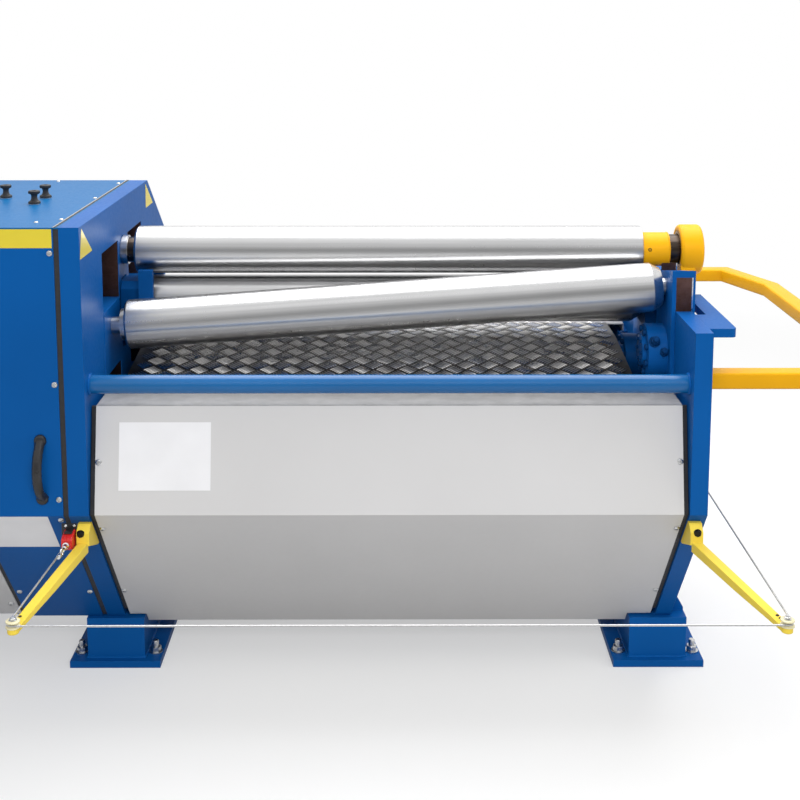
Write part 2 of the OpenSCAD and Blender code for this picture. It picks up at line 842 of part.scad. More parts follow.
module bottom_left_carriage() placed() color(blue) difference() {
    reach = bottom_left_x - 5 - (in_l + 2);
    flange_x = in_l + 2 + reach - finger_t;
    union() {
        bottom_block(in_l + 2, reach, block_w / 2);
        bottom_block(flange_x, finger_t, finger_y + finger_t);
        key(out_l + 6, left_t - 4 + 1, key_top);
        finger(flange_x);
        mirrored_rear(top_y) finger(flange_x);
    }
    translate([0, top_y, bottom_z]) {
        journal_bore();
        rod_x(bottom_left_x - 15, 0, 0, shoulder_d / 2 + 1, 20);
    }
}

module bottom_right_carriage() placed() color(blue) difference() {
    union() {
        bottom_block(bottom_right_x + 8, in_r - 2 - bottom_right_x - 8, block_w / 2);
        key(in_r - 3, right_t + 3 - 6, right_top - 8);
    }
    translate([0, top_y, bottom_z]) journal_bore();
}

left_frame_plate();
right_frame_plate();
left_foot();
right_foot();
cabinet_foot();
front_tie_tube();
rear_tie_tube();
base_beams();
tread_plate();
front_cover();
rear_cover();
cabinet_end_plate();
cabinet_frame();
cabinet_front_cover();
cabinet_panel();
cabinet_top_cover();
cabinet_rear_cover();
cabinet_handle();
top_buffers();
limit_switch();
wire_anchor();
front_left_trip_arm();
front_right_trip_arm();
rear_left_trip_arm();
rear_right_trip_arm();
trip_wire();
guard_rail();
front_shelf();
rear_shelf();
drop_end_lugs();
drop_end_pin();
drop_end_yoke();
yoke_bush();
top_roll();
top_roll_sleeve();
bottom_roll();
bottom_left_carriage();
bottom_right_carriage();
front_roll();
front_left_carriage();
front_right_carriage();
rear_roll();
rear_left_carriage();
rear_right_carriage();
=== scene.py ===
import json
from itertools import product
from math import asin, atan2, cos, hypot, pi, radians, sin

import bmesh
import bpy
from bpy.props import FloatProperty, FloatVectorProperty, IntProperty, PointerProperty
from mathutils import Matrix, Vector


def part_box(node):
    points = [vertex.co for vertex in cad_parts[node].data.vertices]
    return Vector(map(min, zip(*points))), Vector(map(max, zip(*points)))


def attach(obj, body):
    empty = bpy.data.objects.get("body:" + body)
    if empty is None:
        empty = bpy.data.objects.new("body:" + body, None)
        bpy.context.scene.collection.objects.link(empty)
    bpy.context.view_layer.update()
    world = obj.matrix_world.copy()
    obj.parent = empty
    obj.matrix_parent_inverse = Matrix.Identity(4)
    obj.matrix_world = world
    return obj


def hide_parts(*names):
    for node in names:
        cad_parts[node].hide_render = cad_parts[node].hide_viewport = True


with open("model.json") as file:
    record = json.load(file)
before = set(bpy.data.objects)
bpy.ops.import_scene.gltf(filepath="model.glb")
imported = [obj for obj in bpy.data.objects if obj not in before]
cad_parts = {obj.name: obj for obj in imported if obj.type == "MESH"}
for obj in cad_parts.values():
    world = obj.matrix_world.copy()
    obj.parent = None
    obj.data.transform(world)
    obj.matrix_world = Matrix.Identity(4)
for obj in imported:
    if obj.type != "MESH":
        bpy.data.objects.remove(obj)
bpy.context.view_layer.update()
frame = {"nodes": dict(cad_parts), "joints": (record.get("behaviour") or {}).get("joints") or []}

bl_info = {
    "name": "Plate rolling machine",
    "version": (1, 0, 0),
    "blender": (4, 5, 0),
    "location": "View3D > Sidebar > Plate roller",
    "description": "Finishes and fine parts of a four-roll plate bending machine",
    "category": "Object",
}

# Places on the machine, in metres, from the frame's own boxes.
LEFT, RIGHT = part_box("left_frame_plate"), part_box("right_frame_plate")
OUT_L, OUT_R = LEFT[0].x, RIGHT[1].x
IN_L, IN_R = OUT_L + 0.045, OUT_R - 0.040
MID_X = (IN_L + IN_R) / 2
FRONT, REAR = LEFT[0].y, LEFT[1].y
BASE, TOP_L, TOP_R = LEFT[0].z, LEFT[1].z, RIGHT[1].z
KNEE, FOOT_IN = 0.530, 0.334
END_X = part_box("cabinet_end_plate")[0].x
COVER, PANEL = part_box("front_cover"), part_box("cabinet_panel")
WIRE_Z = sum(c.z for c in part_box("trip_wire")) / 2
FRONT_ROLL_AXIS = next(j for j in frame["joints"] if j["name"] == "front_roll_spin")["axis"]

# The front cover leans back over its height above the knee.
COVER_GAP, COVER_LEAN, COVER_RISE = 0.004, 0.051, 0.240
# The cabinet's roof is level as far back as ROOF_EDGE and falls from there.
ROOF_EDGE, ROOF_RUN, ROOF_DROP = FRONT + 0.770, 0.235, 0.170
ROOF_NORMAL = Vector((0, ROOF_DROP, ROOF_RUN)).normalized()
# Folds of the tread plate behind FRONT. It rises by TREAD_RISE from the first to the second,
# and falls back from the third to the fourth.
TREAD_FOLDS, TREAD_RISE = (0.235, 0.529, 0.688, 0.740), 0.036
# Guide windows: half their width, and the side rolls' distance from the top roll.
HALF_WINDOW, ROLLS_APART = 0.0875, 0.145
# How far the top of a trip arm lies under the wire, and a pad's thickness.
ARM_TOP, PAD = 0.0085, 0.018
SHEET_SCREW_H = 0.0042
# Points nearer than this are one point. Edges sharper than this many degrees are softened.
TINY, SOFTENED_FROM = 1e-6, 32

# Studio: what shiny metal mirrors low in front, and the level of the soft grey light.
STUDIO_LOW, STUDIO_FILL = 0.32, 0.38
# The mirrored tone changes over Z + STUDIO_SLANT * Y, between these two values.
STUDIO_SLANT, STUDIO_FROM, STUDIO_TO = 0.6, -0.60, 0.32
# Floor: its colour, its glow under the machine, and the share of the glow in mirrors.
FLOOR_TONE, FLOOR_GLOW, FLOOR_MIRRORED = 0.50, 0.42, 0.50
# It is pale as far as FLOOR_NEAR and white from FLOOR_FAR to its rim.
FLOOR_NEAR, FLOOR_FAR, FLOOR_RIM, FLOOR_TOP = 1.7, 4.2, 30.0, -0.0005

# Turn prisms so that they run along X or along Y.
ALONG_X = Matrix(((0, 0, 1, 0), (1, 0, 0, 0), (0, 1, 0, 0), (0, 0, 0, 1)))
ALONG_Y = Matrix(((1, 0, 0, 0), (0, 0, 1, 0), (0, 1, 0, 0), (0, 0, 0, 1)))

# Heads as (radius, height) in shares of the screw's own. A third value of 6 makes a hexagon.
BUTTON = ((1, 0), (0.97, 0.35), (0.82, 0.75), (0.55, 1), (0.42, 1, 6), (0.40, 0.4, 6), (0, 0.35))
CAP_SCREW = ((1, 0), (1, 0.88), (0.93, 1), (0.52, 1, 6), (0.50, 0.45, 6), (0, 0.4))
HEX_BOLT = ((1.42, 0), (1.42, 0.16), (1.3, 0.22), (1.02, 0.22), (1, 0.24, 6), (1, 0.9, 6),
            (0.95, 1), (0, 0.98))
NUT = ((1.45, 0), (1.45, 0.2), (1.02, 0.22), (1, 0.24, 6), (1, 0.93, 6), (0.94, 1))


def centre(node):
    low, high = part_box(node)
    return (low + high) / 2


def edge_y(z):
    """Front edge of the plates and cabinet sheets at height z."""
    return FRONT + FOOT_IN * max(0.0, KNEE - z) / (KNEE - BASE)


def edge_normal(z):
    if z >= KNEE:
        return Vector((0, -1, 0))
    return Vector((0, BASE - KNEE, -FOOT_IN)).normalized()


def cover_y(z):
    """Outer face of the front cover at height z."""
    return edge_y(z) + COVER_GAP + COVER_LEAN * max(0.0, z - KNEE) / COVER_RISE


def cover_normal(z):
    if z >= KNEE:
        return Vector((0, -COVER_RISE, COVER_LEAN)).normalized()
    return edge_normal(z)


def to_rear(point):
    """The mirror image at the rear of a point at the front."""
    return Vector((point[0], FRONT + REAR - point[1], point[2]))


# ---------------------------------------------------------------- meshes

def angles(steps, start=0.0):
    return [start + 2 * pi * i / steps for i in range(steps)]


def circle(r, steps, start=0.0):
    return [(r * cos(a), r * sin(a)) for a in angles(steps, start)]


def oblong(u0, u1, v0, v1):
    return [(u0, v0), (u1, v0), (u1, v1), (u0, v1)]


def aimed(place, normal, spin=0.0):
    """Sets Z along a normal at a place."""
    turn = Vector(normal).normalized().to_track_quat("Z", "Y").to_matrix().to_4x4()
    return Matrix.Translation(Vector(place)) @ turn @ Matrix.Rotation(spin, 4, "Z")


class Shape:
    """Collects the parts of one piece in one mesh."""

    def __init__(self, node=None):
        self.bm = bmesh.new()
        if node:
            self.bm.from_mesh(frame["nodes"][node].data)
            bmesh.ops.remove_doubles(self.bm, verts=self.bm.verts[:], dist=TINY)

    def loop(self, points, matrix=Matrix()):
        return [self.bm.verts.new(matrix @ Vector(p)) for p in points]

    def bridge(self, a, b):
        """Faces between two rings, or between a ring and a tip."""
        if len(a) == 1 or len(b) == 1:
            tip, ring = (a[0], b) if len(a) == 1 else (b[0], a)
            for i in range(len(ring) if len(ring) > 1 else 0):
                self.bm.faces.new((tip, ring[i], ring[(i + 1) % len(ring)]))
            return
        for i in range(len(a)):
            j = (i + 1) % len(a)
            self.bm.faces.new((a[i], a[j], b[j], b[i]))

    def skin(self, rings, closed=False):
        """Faces over a row of rings, with caps, or with the last ring joined to the first."""
        for a, b in zip(rings, rings[1:]):
            self.bridge(a, b)
        if closed:
            self.bridge(rings[-1], rings[0])
            return
        for ring in (rings[0], rings[-1]):
            if len(ring) > 1:
                self.bm.faces.new(ring)

    def turned(self, profile, matrix, steps=24, closed=False):
        """Turns (radius, height) points round Z. A third value of 6 makes a hexagon."""
        rings = []
        for r, h, *six in profile:
            if r < TINY:
                rings.append(self.loop([(0, 0, h)], matrix))
                continue
            points = []
            for a in angles(steps):
                k = r / cos((a % (pi / 3)) - pi / 6) if six else r
                points.append((k * cos(a), k * sin(a), h))
            rings.append(self.loop(points, matrix))
        self.skin(rings, closed)

    def prism(self, outline, low, high, matrix=Matrix()):
        self.skin([self.loop([(u, v, w) for u, v in outline], matrix) for w in (low, high)])

    def block(self, low, high):
        self.prism(oblong(low[0], high[0], low[1], high[1]), low[2], high[2])

    def swept(self, points, section, closed=False, scale=None):
        """Sweeps a section of (side, up) points along a way in space."""
        pts = [Vector(p) for p in points]
        n = len(pts)
        rings = []
        up = None
        for i, p in enumerate(pts):
            back = pts[i - 1] if i or closed else None
            ahead = pts[(i + 1) % n] if i < n - 1 or closed else None
            d1 = (p - back).normalized() if back is not None else None
            d2 = (ahead - p).normalized() if ahead is not None else None
            d = ((d1 or d2) + (d2 or d1)).normalized()
            if up is None:
                up = Vector((0, 0, 1)) if abs(d.z) < 0.9 else Vector((1, 0, 0))
            side = d.cross(up).normalized()
            up = side.cross(d).normalized()
            k = 1.0 if scale is None else scale[i]
            rings.append(self.loop([p + side * (u * k) + up * (v * k) for u, v in section]))
        self.skin(rings, closed)

    def weld(self, points, r, closed=False):
        """A rippled weld bead along straight runs between points."""
        bead, ripple = 0.009, 0.16
        pts, sizes = [], []
        ends = list(points) + ([points[0]] if closed else [])
        for a, b in zip(ends, ends[1:]):
            a, b = Vector(a), Vector(b)
            n = max(2, int((b - a).length / bead))
            for i in range(n):
                pts.append(a.lerp(b, i / n))
                sizes.append(1.0 + ripple * (len(pts) % 2))
        if not closed:
            pts.append(Vector(ends[-1]))
            sizes.append(0.8)
        self.swept(pts, circle(r, 6), closed, sizes)

    def screw(self, kind, place, normal, r, h, spin=0.0):
        """A head of some kind. For a hexagon, r is half the width across flats."""
        self.turned([(k * r, t * h, *six) for k, t, *six in kind], aimed(place, normal, spin))

    def nut_and_stud(self, place, r, h, stud, out):
        """An upright stud that stands out of its nut, with a small chamfer."""
        tip = h + out + stud * 0.25
        self.turned([(k * r, t * h, *six) for k, t, *six in NUT]
                    + [(stud, h), (stud, h + out), (stud * 0.8, tip), (0, tip)],
                    aimed(place, (0, 0, 1), 0.2))


def piece(name, shape, look, body="machine", soften=0.0, smooth=35.0, segments=2,
          instead_of=None):
    """Makes the object, gives it its finish and sets it on its body."""
    mesh = bpy.data.meshes.new(name)
    bmesh.ops.recalc_face_normals(shape.bm, faces=shape.bm.faces)
    shape.bm.to_mesh(mesh)
    shape.bm.free()
    for face in mesh.polygons:
        face.use_smooth = True
    mesh.set_sharp_from_angle(angle=radians(smooth))
    mesh.materials.append(bpy.data.materials[look])
    thing = bpy.data.objects.new(name, mesh)
    bpy.context.scene.collection.objects.link(thing)
    if soften:
        bevel = thing.modifiers.new("soft edges", "BEVEL")
        bevel.width = soften
        bevel.segments = segments
        bevel.limit_method = "ANGLE"
        bevel.angle_limit = radians(SOFTENED_FROM)
        bevel.harden_normals = True
    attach(thing, body)
    if instead_of:
        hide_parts(instead_of)


# ------------------------------------------------------------- materials

def dimmed(colour, k):
    return tuple(c * k for c in colour)


class Nodes:
    """Adds nodes to one tree. An input takes a value or another node's output."""

    def __init__(self, tree):
        self.tree = tree

    def feed(self, socket, value):
        if isinstance(value, bpy.types.NodeSocket):
            self.tree.links.new(value, socket)
        else:
            socket.default_value = value

    def node(self, kind, inputs=(), **settings):
        made = self.tree.nodes.new("ShaderNode" + kind)
        for key, value in settings.items():
            setattr(made, key, value)
        for key, value in dict(inputs).items():
            self.feed(made.inputs[key], value)
        return made

    def maths(self, operation, *values):
        return self.node("Math", enumerate(values), operation=operation).outputs["Value"]

    def times(self, a, b):
        return self.maths("MULTIPLY", a, b)

    def spread(self, value, low, high, start=0.3, end=0.7, **settings):
        """Maps start to end of a value onto low to high."""
        return self.node("MapRange", {"From Min": start, "From Max": end, "To Min": low,
                                      "To Max": high, "Value": value},
                         **settings).outputs["Result"]


class Finish(Nodes):
    """Builds one procedural material."""

    def __init__(self, name, colour, roughness, metallic=0.0, **sockets):
        self.colour = tuple(colour)[:3]
        self.material = bpy.data.materials.new(name)
        self.material.use_nodes = True
        super().__init__(self.material.node_tree)
        self.shader = self.tree.nodes["Principled BSDF"]
        self.material.diffuse_color = (*self.colour, 1.0)
        self.put(Base_Color=(*self.colour, 1.0), Roughness=roughness, Metallic=metallic,
                 **sockets)

    def put(self, **sockets):
        """Sets or links the shader's own sockets."""
        for name, value in sockets.items():
            self.feed(self.shader.inputs[name.replace("_", " ")], value)

    def place(self, scale=(1, 1, 1), turn=0.0):
        out = self.node("TexCoord").outputs["Object"]
        if turn:
            out = self.node("Mapping", {"Rotation": (0, turn, 0), "Vector": out}).outputs["Vector"]
        return self.node("Mapping", {"Scale": scale, "Vector": out}).outputs["Vector"]

    def along(self, axis):
        return self.node("SeparateXYZ", {"Vector": self.place()}).outputs[axis]

    def noise(self, scale, detail=2.0, rough=0.5, where=None):
        return self.node("TexNoise", {"Scale": scale, "Detail": detail, "Roughness": rough,
                                      "Vector": where or self.place()}).outputs["Fac"]

    def mixed(self, value, first, second):
        made = self.node("Mix", {"Factor": value}, data_type="RGBA")
        for name, colour in (("A", first), ("B", second)):
            if not isinstance(colour, bpy.types.NodeSocket):
                colour = (*colour, 1.0)
            self.feed(made.inputs[name], colour)
        return made.outputs["Result"]

    def shade(self, k):
        return tuple(min(1.0, c * k) for c in self.colour)

    def mottled(self, scale, dark, pale):
        """The colour with patches between two shades of it."""
        patches = self.spread(self.noise(scale, 3.0), 0.0, 1.0)
        return self.mixed(patches, self.shade(dark), self.shade(pale))

    def uneven(self, scale, low, high, detail=3.0):
        self.put(Roughness=self.spread(self.noise(scale, detail), low, high))

    def relief(self, height, depth, strength, **normal):
        made = self.node("Bump", {"Distance": depth, "Strength": strength, "Height": height,
                                  **normal})
        self.put(Normal=made.outputs["Normal"])


def enamel(name, colour, roughness=0.36, edge_wear_and_highlight=0.5, shine=0.07):
    """Machine paint with a fine orange peel, slight random changes of tone, and lighter edges:
    partly wear, partly a painted highlight.
    """
    f = Finish(name, colour, roughness, Specular_IOR_Level=shine)
    soft = f.node("Bevel", {"Radius": 0.0022}, samples=4).outputs["Normal"]
    bend = f.node("VectorMath", {0: soft, 1: f.node("NewGeometry").outputs["Normal"]},
                  operation="DOT_PRODUCT").outputs["Value"]
    # Painted highlight and wear: the edges are lightened in patches towards a paler copy of the
    # colour.
    edges = f.spread(bend, 1.0, 0.0, 0.90, 0.99)
    wear_and_highlight = f.spread(f.noise(38.0, 4.0, 0.65), 0.1, edge_wear_and_highlight, 0.35, 0.75)
    pale = tuple(min(1.0, c * 1.3 + 0.03) for c in f.colour)
    f.put(Base_Color=f.mixed(f.times(edges, wear_and_highlight), f.mottled(2.3, 0.90, 1.10), pale))
    f.uneven(140.0, roughness - 0.02, roughness + 0.04)
    f.relief(f.noise(420.0, 1.0), depth=0.00025, strength=0.12, Normal=soft)


def powder_coat(name, colour, ledge=None):
    """Fine powder coat, with painted shade in noisy patches on what lies flat at the height of
    ledge.
    """
    f = Finish(name, colour, 0.42, Specular_IOR_Level=0.3)
    body = f.mottled(1.7, 0.96, 1.03)
    if ledge is not None:
        # Painted shade: what lies flat at the ledge is darkened towards half the colour.
        flat = f.spread(f.along("Z"), 0.0, 1.0, ledge - 0.0012, ledge - 0.0004)
        painted_ledge_shade = f.times(flat, f.spread(f.noise(26.0, 4.0), 0.70, 1.0))
        body = f.mixed(painted_ledge_shade, body, f.shade(0.50))
    f.put(Base_Color=body)
    f.uneven(70.0, 0.36, 0.50)
    f.relief(f.noise(900.0, 1.0), depth=0.00012, strength=0.3)


def ground_roll(name, colour, turn=0.0, dark_stretches=()):
    """Ground roll steel: its rings draw the reflections out along the axis, and the
    plate leaves faint streaks. The last argument lists stretches between places along X
    that are made dark brown."""
    f = Finish(name, colour, 0.29, 1.0, Anisotropic=0.45, Anisotropic_Rotation=0.25)
    f.put(Tangent=f.node("Tangent", direction_type="RADIAL", axis="X").outputs["Tangent"])
    rings = f.noise(1.0, 2.0, 0.5, f.place((210, 2, 2), turn))
    streaks = f.noise(1.0, 4.0, 0.6, f.place((0.7, 90, 90), turn))
    stains = f.noise(5.0, 3.0, 0.6)
    shade = f.times(f.spread(streaks, 0.35, 1.0, 0.32, 0.58), f.spread(stains, 0.75, 1.0))
    body = f.mixed(shade, f.shade(0.70), f.shade(1.03))
    fade, dark_tone = 0.0005, (0.07, 0.055, 0.045)
    for start, end in dark_stretches:
        x = f.along("X")
        stretch = f.times(f.spread(x, 0.0, 1.0, start - fade, start + fade),
                          f.spread(x, 1.0, 0.0, end - fade, end + fade))
        body = f.mixed(stretch, body, dark_tone)
    f.put(Base_Color=body,
          Roughness=f.times(f.spread(rings, 0.97, 1.03), f.spread(streaks, 0.31, 0.27)))


def bare_steel(name, colour, roughness=0.35, scale=(60, 900, 60), dirt=0.5):
    """Machined steel with tool marks and an oily, uneven tone."""
    f = Finish(name, colour, roughness, 1.0)
    marks = f.noise(1.0, 3.0, 0.6, f.place(scale))
    oil = f.noise(14.0, 5.0, 0.65)
    brown = tuple(c * k * 0.42 for c, k in zip(f.colour, (1.05, 0.85, 0.68)))
    f.put(Base_Color=f.mixed(f.spread(oil, 0.0, dirt, 0.35, 0.7), f.shade(1.0), brown),
          Roughness=f.times(f.spread(marks, 0.8, 1.2),
                            f.spread(oil, roughness - 0.06, roughness + 0.16)))
    f.relief(marks, depth=0.00004, strength=0.6)


def plated(name, colour, roughness=0.28):
    f = Finish(name, colour, roughness, 1.0)
    f.put(Base_Color=f.mottled(160.0, 0.82, 1.08))
    f.uneven(240.0, roughness - 0.06, roughness + 0.12, 2.0)


def moulded(name, colour, roughness=0.45, grain=700.0, depth=0.00015):
    """Rubber or plastic with a fine moulded grain."""
    f = Finish(name, colour, roughness)
    f.put(Base_Color=f.mottled(22.0, 0.88, 1.15))
    f.uneven(90.0, roughness - 0.08, roughness + 0.08)
    f.relief(f.noise(grain, 1.0), depth, strength=0.5)


def film(name, colour):
    """Blank stuck-on film with a smooth face."""
    f = Finish(name, colour, 0.3, Coat_Weight=0.3, Coat_Roughness=0.1)
    f.put(Base_Color=f.mottled(9.0, 0.95, 1.02))
    f.relief(f.noise(30.0), depth=0.0002, strength=0.15)


# ------------------------------------------------------------ properties

def colour_property(name, text, value):
    return FloatVectorProperty(name=name, description=text, subtype="COLOR", size=3,
                               min=0.0, max=1.0, default=value)


class RollerColours(bpy.types.PropertyGroup):
    blue: colour_property("Blue", "Enamel of the frame and cabinet", (0.003, 0.086, 0.315))
    yellow: colour_property("Yellow", "Enamel of the drop end and rail", (0.79, 0.385, 0.007))
    lemon: colour_property("Lemon", "Enamel of the trip arms", (0.80, 0.60, 0.07))
    grey: colour_property("Grey", "Powder coat of the covers", (0.60, 0.595, 0.597))
    roll: colour_property("Roll steel", "Ground steel of the rolls", (0.68, 0.68, 0.685))
    tread: colour_property("Chequer plate", "Rolled steel of the plate", (0.15, 0.147, 0.145))


class RollerSizes(bpy.types.PropertyGroup):
    screw: FloatProperty(name="Cover screws", description="Head diameter of the cover screws",
                         default=0.014, min=0.006, max=0.02, unit="LENGTH")
    square: FloatProperty(name="Square", description="Spacing of like squares on the plate",
                          default=0.0576, min=0.03, max=0.09, unit="LENGTH")
    weld: FloatProperty(name="Weld bead", description="Half the width of a weld bead",
                        default=0.004, min=0.002, max=0.008, unit="LENGTH")
    flange_screws: IntProperty(name="Flange screws", description="Screws on each round flange",
                               default=8, min=4, max=12)


class Step:
    """What the operators share."""
    bl_options = {"REGISTER", "UNDO"}

    def execute(self, context):
        self.build(context.scene.roller_colours, context.scene.roller_sizes)
        return {"FINISHED"}


# ------------------------------------------------------------- operators

class ROLLER_OT_stage(Step, bpy.types.Operator):
    """Pale floor, soft studio light and the camera"""
    bl_idname = "roller.stage"
    bl_label = "Stage"

    def build(self, colours, sizes):
        scene = bpy.context.scene
        for name in ("Cube", "Light", "Camera"):
            old = bpy.data.objects.get(name)
            if old is not None:
                bpy.data.objects.remove(old)
        scene.view_settings.view_transform = "Standard"
        self.camera(scene)
        self.world(scene)
        self.floor()
        self.lamp("overhead softbox", (0.2, 0.7, 3.4), (0.1, 0.2, 0.9), (3.8, 3.0), 142, True)
        self.lamp("front softbox", (0.35, -4.4, 2.9), (0.2, 0, 0.5), (3.6, 1.8), 142)
        self.lamp("right softbox", (3.8, -1.2, 2.4), (0.3, 0, 0.8), (1.6, 2.2), 30)
        self.lamp("rear softbox", (-0.4, 3.6, 3.0), (0, 0, 0.8), (3.0, 1.6), 38)

    def camera(self, scene):
        data = bpy.data.cameras.new("studio camera")
        data.lens, data.sensor_width = 56.81, 36.0
        data.shift_y = -0.27
        data.clip_end = 100.0
        thing = bpy.data.objects.new("studio camera", data)
        thing.location = (MID_X + 0.0145, FRONT - 2.7190, 1.6649)
        thing.rotation_euler = (radians(90 - 7.93), 0, radians(-0.190))
        scene.collection.objects.link(thing)
        scene.camera = thing

    def world(self, scene):
        """White to the camera, darker low in front for what shines, soft grey light."""
        world = bpy.data.worlds.new("studio")
        world.use_nodes = True
        scene.world = world
        w = Nodes(world.node_tree)
        ray = w.node("LightPath").outputs
        way = w.node("TexCoord").outputs["Generated"]
        way = w.node("SeparateXYZ", {"Vector": way}).outputs
        height = w.maths("MULTIPLY_ADD", way["Y"], STUDIO_SLANT, way["Z"])
        front = w.spread(height, STUDIO_LOW, 1.0, STUDIO_FROM, STUDIO_TO,
                         interpolation_type="SMOOTHSTEP")
        seen = w.times(ray["Is Glossy Ray"], front)
        for level in (ray["Is Camera Ray"], ray["Is Transmission Ray"], STUDIO_FILL):
            seen = w.maths("MAXIMUM", seen, level)
        back = world.node_tree.nodes["Background"].inputs
        w.feed(back["Strength"], seen)
        w.feed(back["Color"], (1, 1, 1, 1))

    def floor(self):
        """Pale under the machine and pure white further out, so that no horizon shows."""
        shape = Shape()
        shape.turned([(FLOOR_RIM, -0.004), (FLOOR_RIM, FLOOR_TOP), (0, FLOOR_TOP)], Matrix(), 64)
        mesh = bpy.data.meshes.new("studio floor")
        shape.bm.to_mesh(mesh)
        shape.bm.free()
        floor = bpy.data.objects.new("studio floor", mesh)
        f = Finish("floor white", (FLOOR_TONE,) * 3, 0.9, Specular_IOR_Level=0.0)
        distance = f.node("VectorMath", {0: f.place()}, operation="LENGTH").outputs["Value"]
        far = f.spread(distance, 0.0, 1.0, FLOOR_NEAR, FLOOR_FAR)
        ray = f.node("LightPath").outputs
        seen = f.maths("MAXIMUM", ray["Is Camera Ray"],
                       f.times(ray["Is Glossy Ray"], FLOOR_MIRRORED))
        tone = f.mixed(f.noise(1.2), (FLOOR_TONE * 0.98,) * 3, (FLOOR_TONE * 1.02,) * 3)
        f.put(Base_Color=f.mixed(f.times(far, seen), tone, (0, 0, 0)),
              Emission_Strength=f.times(f.spread(far, FLOOR_GLOW, 1.0, 0.0, 1.0), seen),
              Emission_Color=(1, 1, 1, 1))
        mesh.materials.append(f.material)
        bpy.context.scene.collection.objects.link(floor)

    def lamp(self, name, place, target, size, watts, mirrored=False):
        data = bpy.data.lights.new(name, "AREA")
        data.shape = "RECTANGLE"
        data.size, data.size_y = size
        data.energy = watts
        thing = bpy.data.objects.new(name, data)
        thing.location = place
        aim = Vector(target) - Vector(place)
        thing.rotation_euler = aim.to_track_quat("-Z", "Y").to_euler()
        thing.visible_glossy = mirrored
        bpy.context.scene.collection.objects.link(thing)


class ROLLER_OT_paintwork(Step, bpy.types.Operator):
    """Makes the finishes and puts them on the frame's own solids"""
    bl_idname = "roller.paintwork"
    bl_label = "Paintwork"

    # The solids of each finish. All others are machine blue.
    nodes = {
        "tube blue": "front_tie_tube rear_tie_tube",
        "lid blue, painted sheen": "cabinet_top_cover",
        "blue in mild painted shade": "base_beams cabinet_frame",
        "signal yellow": "drop_end_yoke top_roll_sleeve guard_rail",
        "trip yellow": "front_left_trip_arm front_right_trip_arm rear_left_trip_arm "
                       "rear_right_trip_arm",
        "cover grey": "front_cover rear_cover",
        "panel grey": "cabinet_panel",
        "ground roll steel": "bottom_roll",
        "ground roll steel, painted shade": "rear_roll",
        "ground roll steel, dark ends": "top_roll",
        "ground roll steel, tilted roll": "front_roll",
        "chequer plate steel": "tread_plate",
        "wire steel": "trip_wire",
        "zinc": "wire_anchor drop_end_pin",
        "turned bronze": "yoke_bush",
        "black rubber": "cabinet_handle top_buffers",
        "red plastic": "limit_switch",
    }

    def build(self, colours, sizes):
        self.paints(colours)
        self.metals(colours)
        moulded("black rubber", (0.018, 0.018, 0.020), 0.62)
        moulded("black plastic", (0.014, 0.014, 0.016), 0.34, 900.0, 0.0001)
        moulded("red plastic", (0.56, 0.018, 0.016), 0.3, 600.0, 0.0001)
        moulded("pulley nylon", (0.72, 0.66, 0.42), 0.4, 300.0, 0.0002)
        film("white film", (0.82, 0.82, 0.84))
        film("yellow film", (0.72, 0.58, 0.03))
        looks = {node: look for look, nodes in self.nodes.items() for node in nodes.split()}
        for node, thing in frame["nodes"].items():
            if not thing.material_slots:
                raise RuntimeError(f"{node} has no material slot")
            for slot in thing.material_slots:
                slot.material = bpy.data.materials[looks.get(node, "machine blue")]

    def paints(self, colours):
        enamel("machine blue", colours.blue)
        # Painted shade: a darker copy of the machine blue for the lower right carriage and the
        # flange screws and fittings.
        enamel("blue in deep painted shade", dimmed(colours.blue, 0.42), 0.40)
        enamel("tube blue", (0.003, 0.100, 0.290), 0.20, 0.4, 0.45)
        # Painted sheen: a lighter, more cyan copy of the blue, for the light on the cabinet's top.
        enamel("lid blue, painted sheen", (0.003, 0.106, 0.285))
        # Painted shade: a darker copy of the machine blue for the base beams, the cabinet frame and
        # the lower left carriage.
        enamel("blue in mild painted shade", dimmed(colours.blue, 0.72), 0.45, 0.3)
        enamel("signal yellow", colours.yellow, 0.36, 0.3, 0.14)
        enamel("trip yellow", colours.lemon, 0.36, 0.3, 0.14)
        powder_coat("cover grey", colours.grey, COVER[1].z)
        powder_coat("panel grey", colours.grey)

    def metals(self, colours):
        ground_roll("ground roll steel", colours.roll)
        # Painted shade: the rear roll is the roll steel at 0.55 of its brightness.
        ground_roll("ground roll steel, painted shade", dimmed(colours.roll, 0.55))
        # The top roll is made dark brown on its left neck and on its journal past the sleeve.
        left_end, right_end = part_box("top_roll")[0].x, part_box("top_roll_sleeve")[1].x
        ground_roll("ground roll steel, dark ends", colours.roll, dark_stretches=(
            (IN_L + 0.0165, left_end + 0.0765), (right_end, right_end + 0.060)))
        ground_roll("ground roll steel, tilted roll", colours.roll,
                    atan2(FRONT_ROLL_AXIS[2], FRONT_ROLL_AXIS[0]))
        bare_steel("chequer plate steel", colours.tread, 0.42, (9, 9, 9), 0.6)
        plated("wire steel", (0.62, 0.62, 0.62), 0.4)
        plated("zinc", (0.66, 0.67, 0.68), 0.3)
        plated("chrome", (0.82, 0.83, 0.84), 0.12)
        plated("black oxide", (0.035, 0.035, 0.038), 0.42)
        bare_steel("machined steel", (0.50, 0.50, 0.50), 0.33)
        bare_steel("greasy steel", (0.21, 0.115, 0.095), 0.5, (60, 60, 700), 0.9)
        bare_steel("worn tread bars", (0.90, 0.89, 0.88), 0.27, (30, 30, 30), 0.3)
        bare_steel("turned bronze", (0.50, 0.34, 0.17), 0.32, (500, 30, 30))


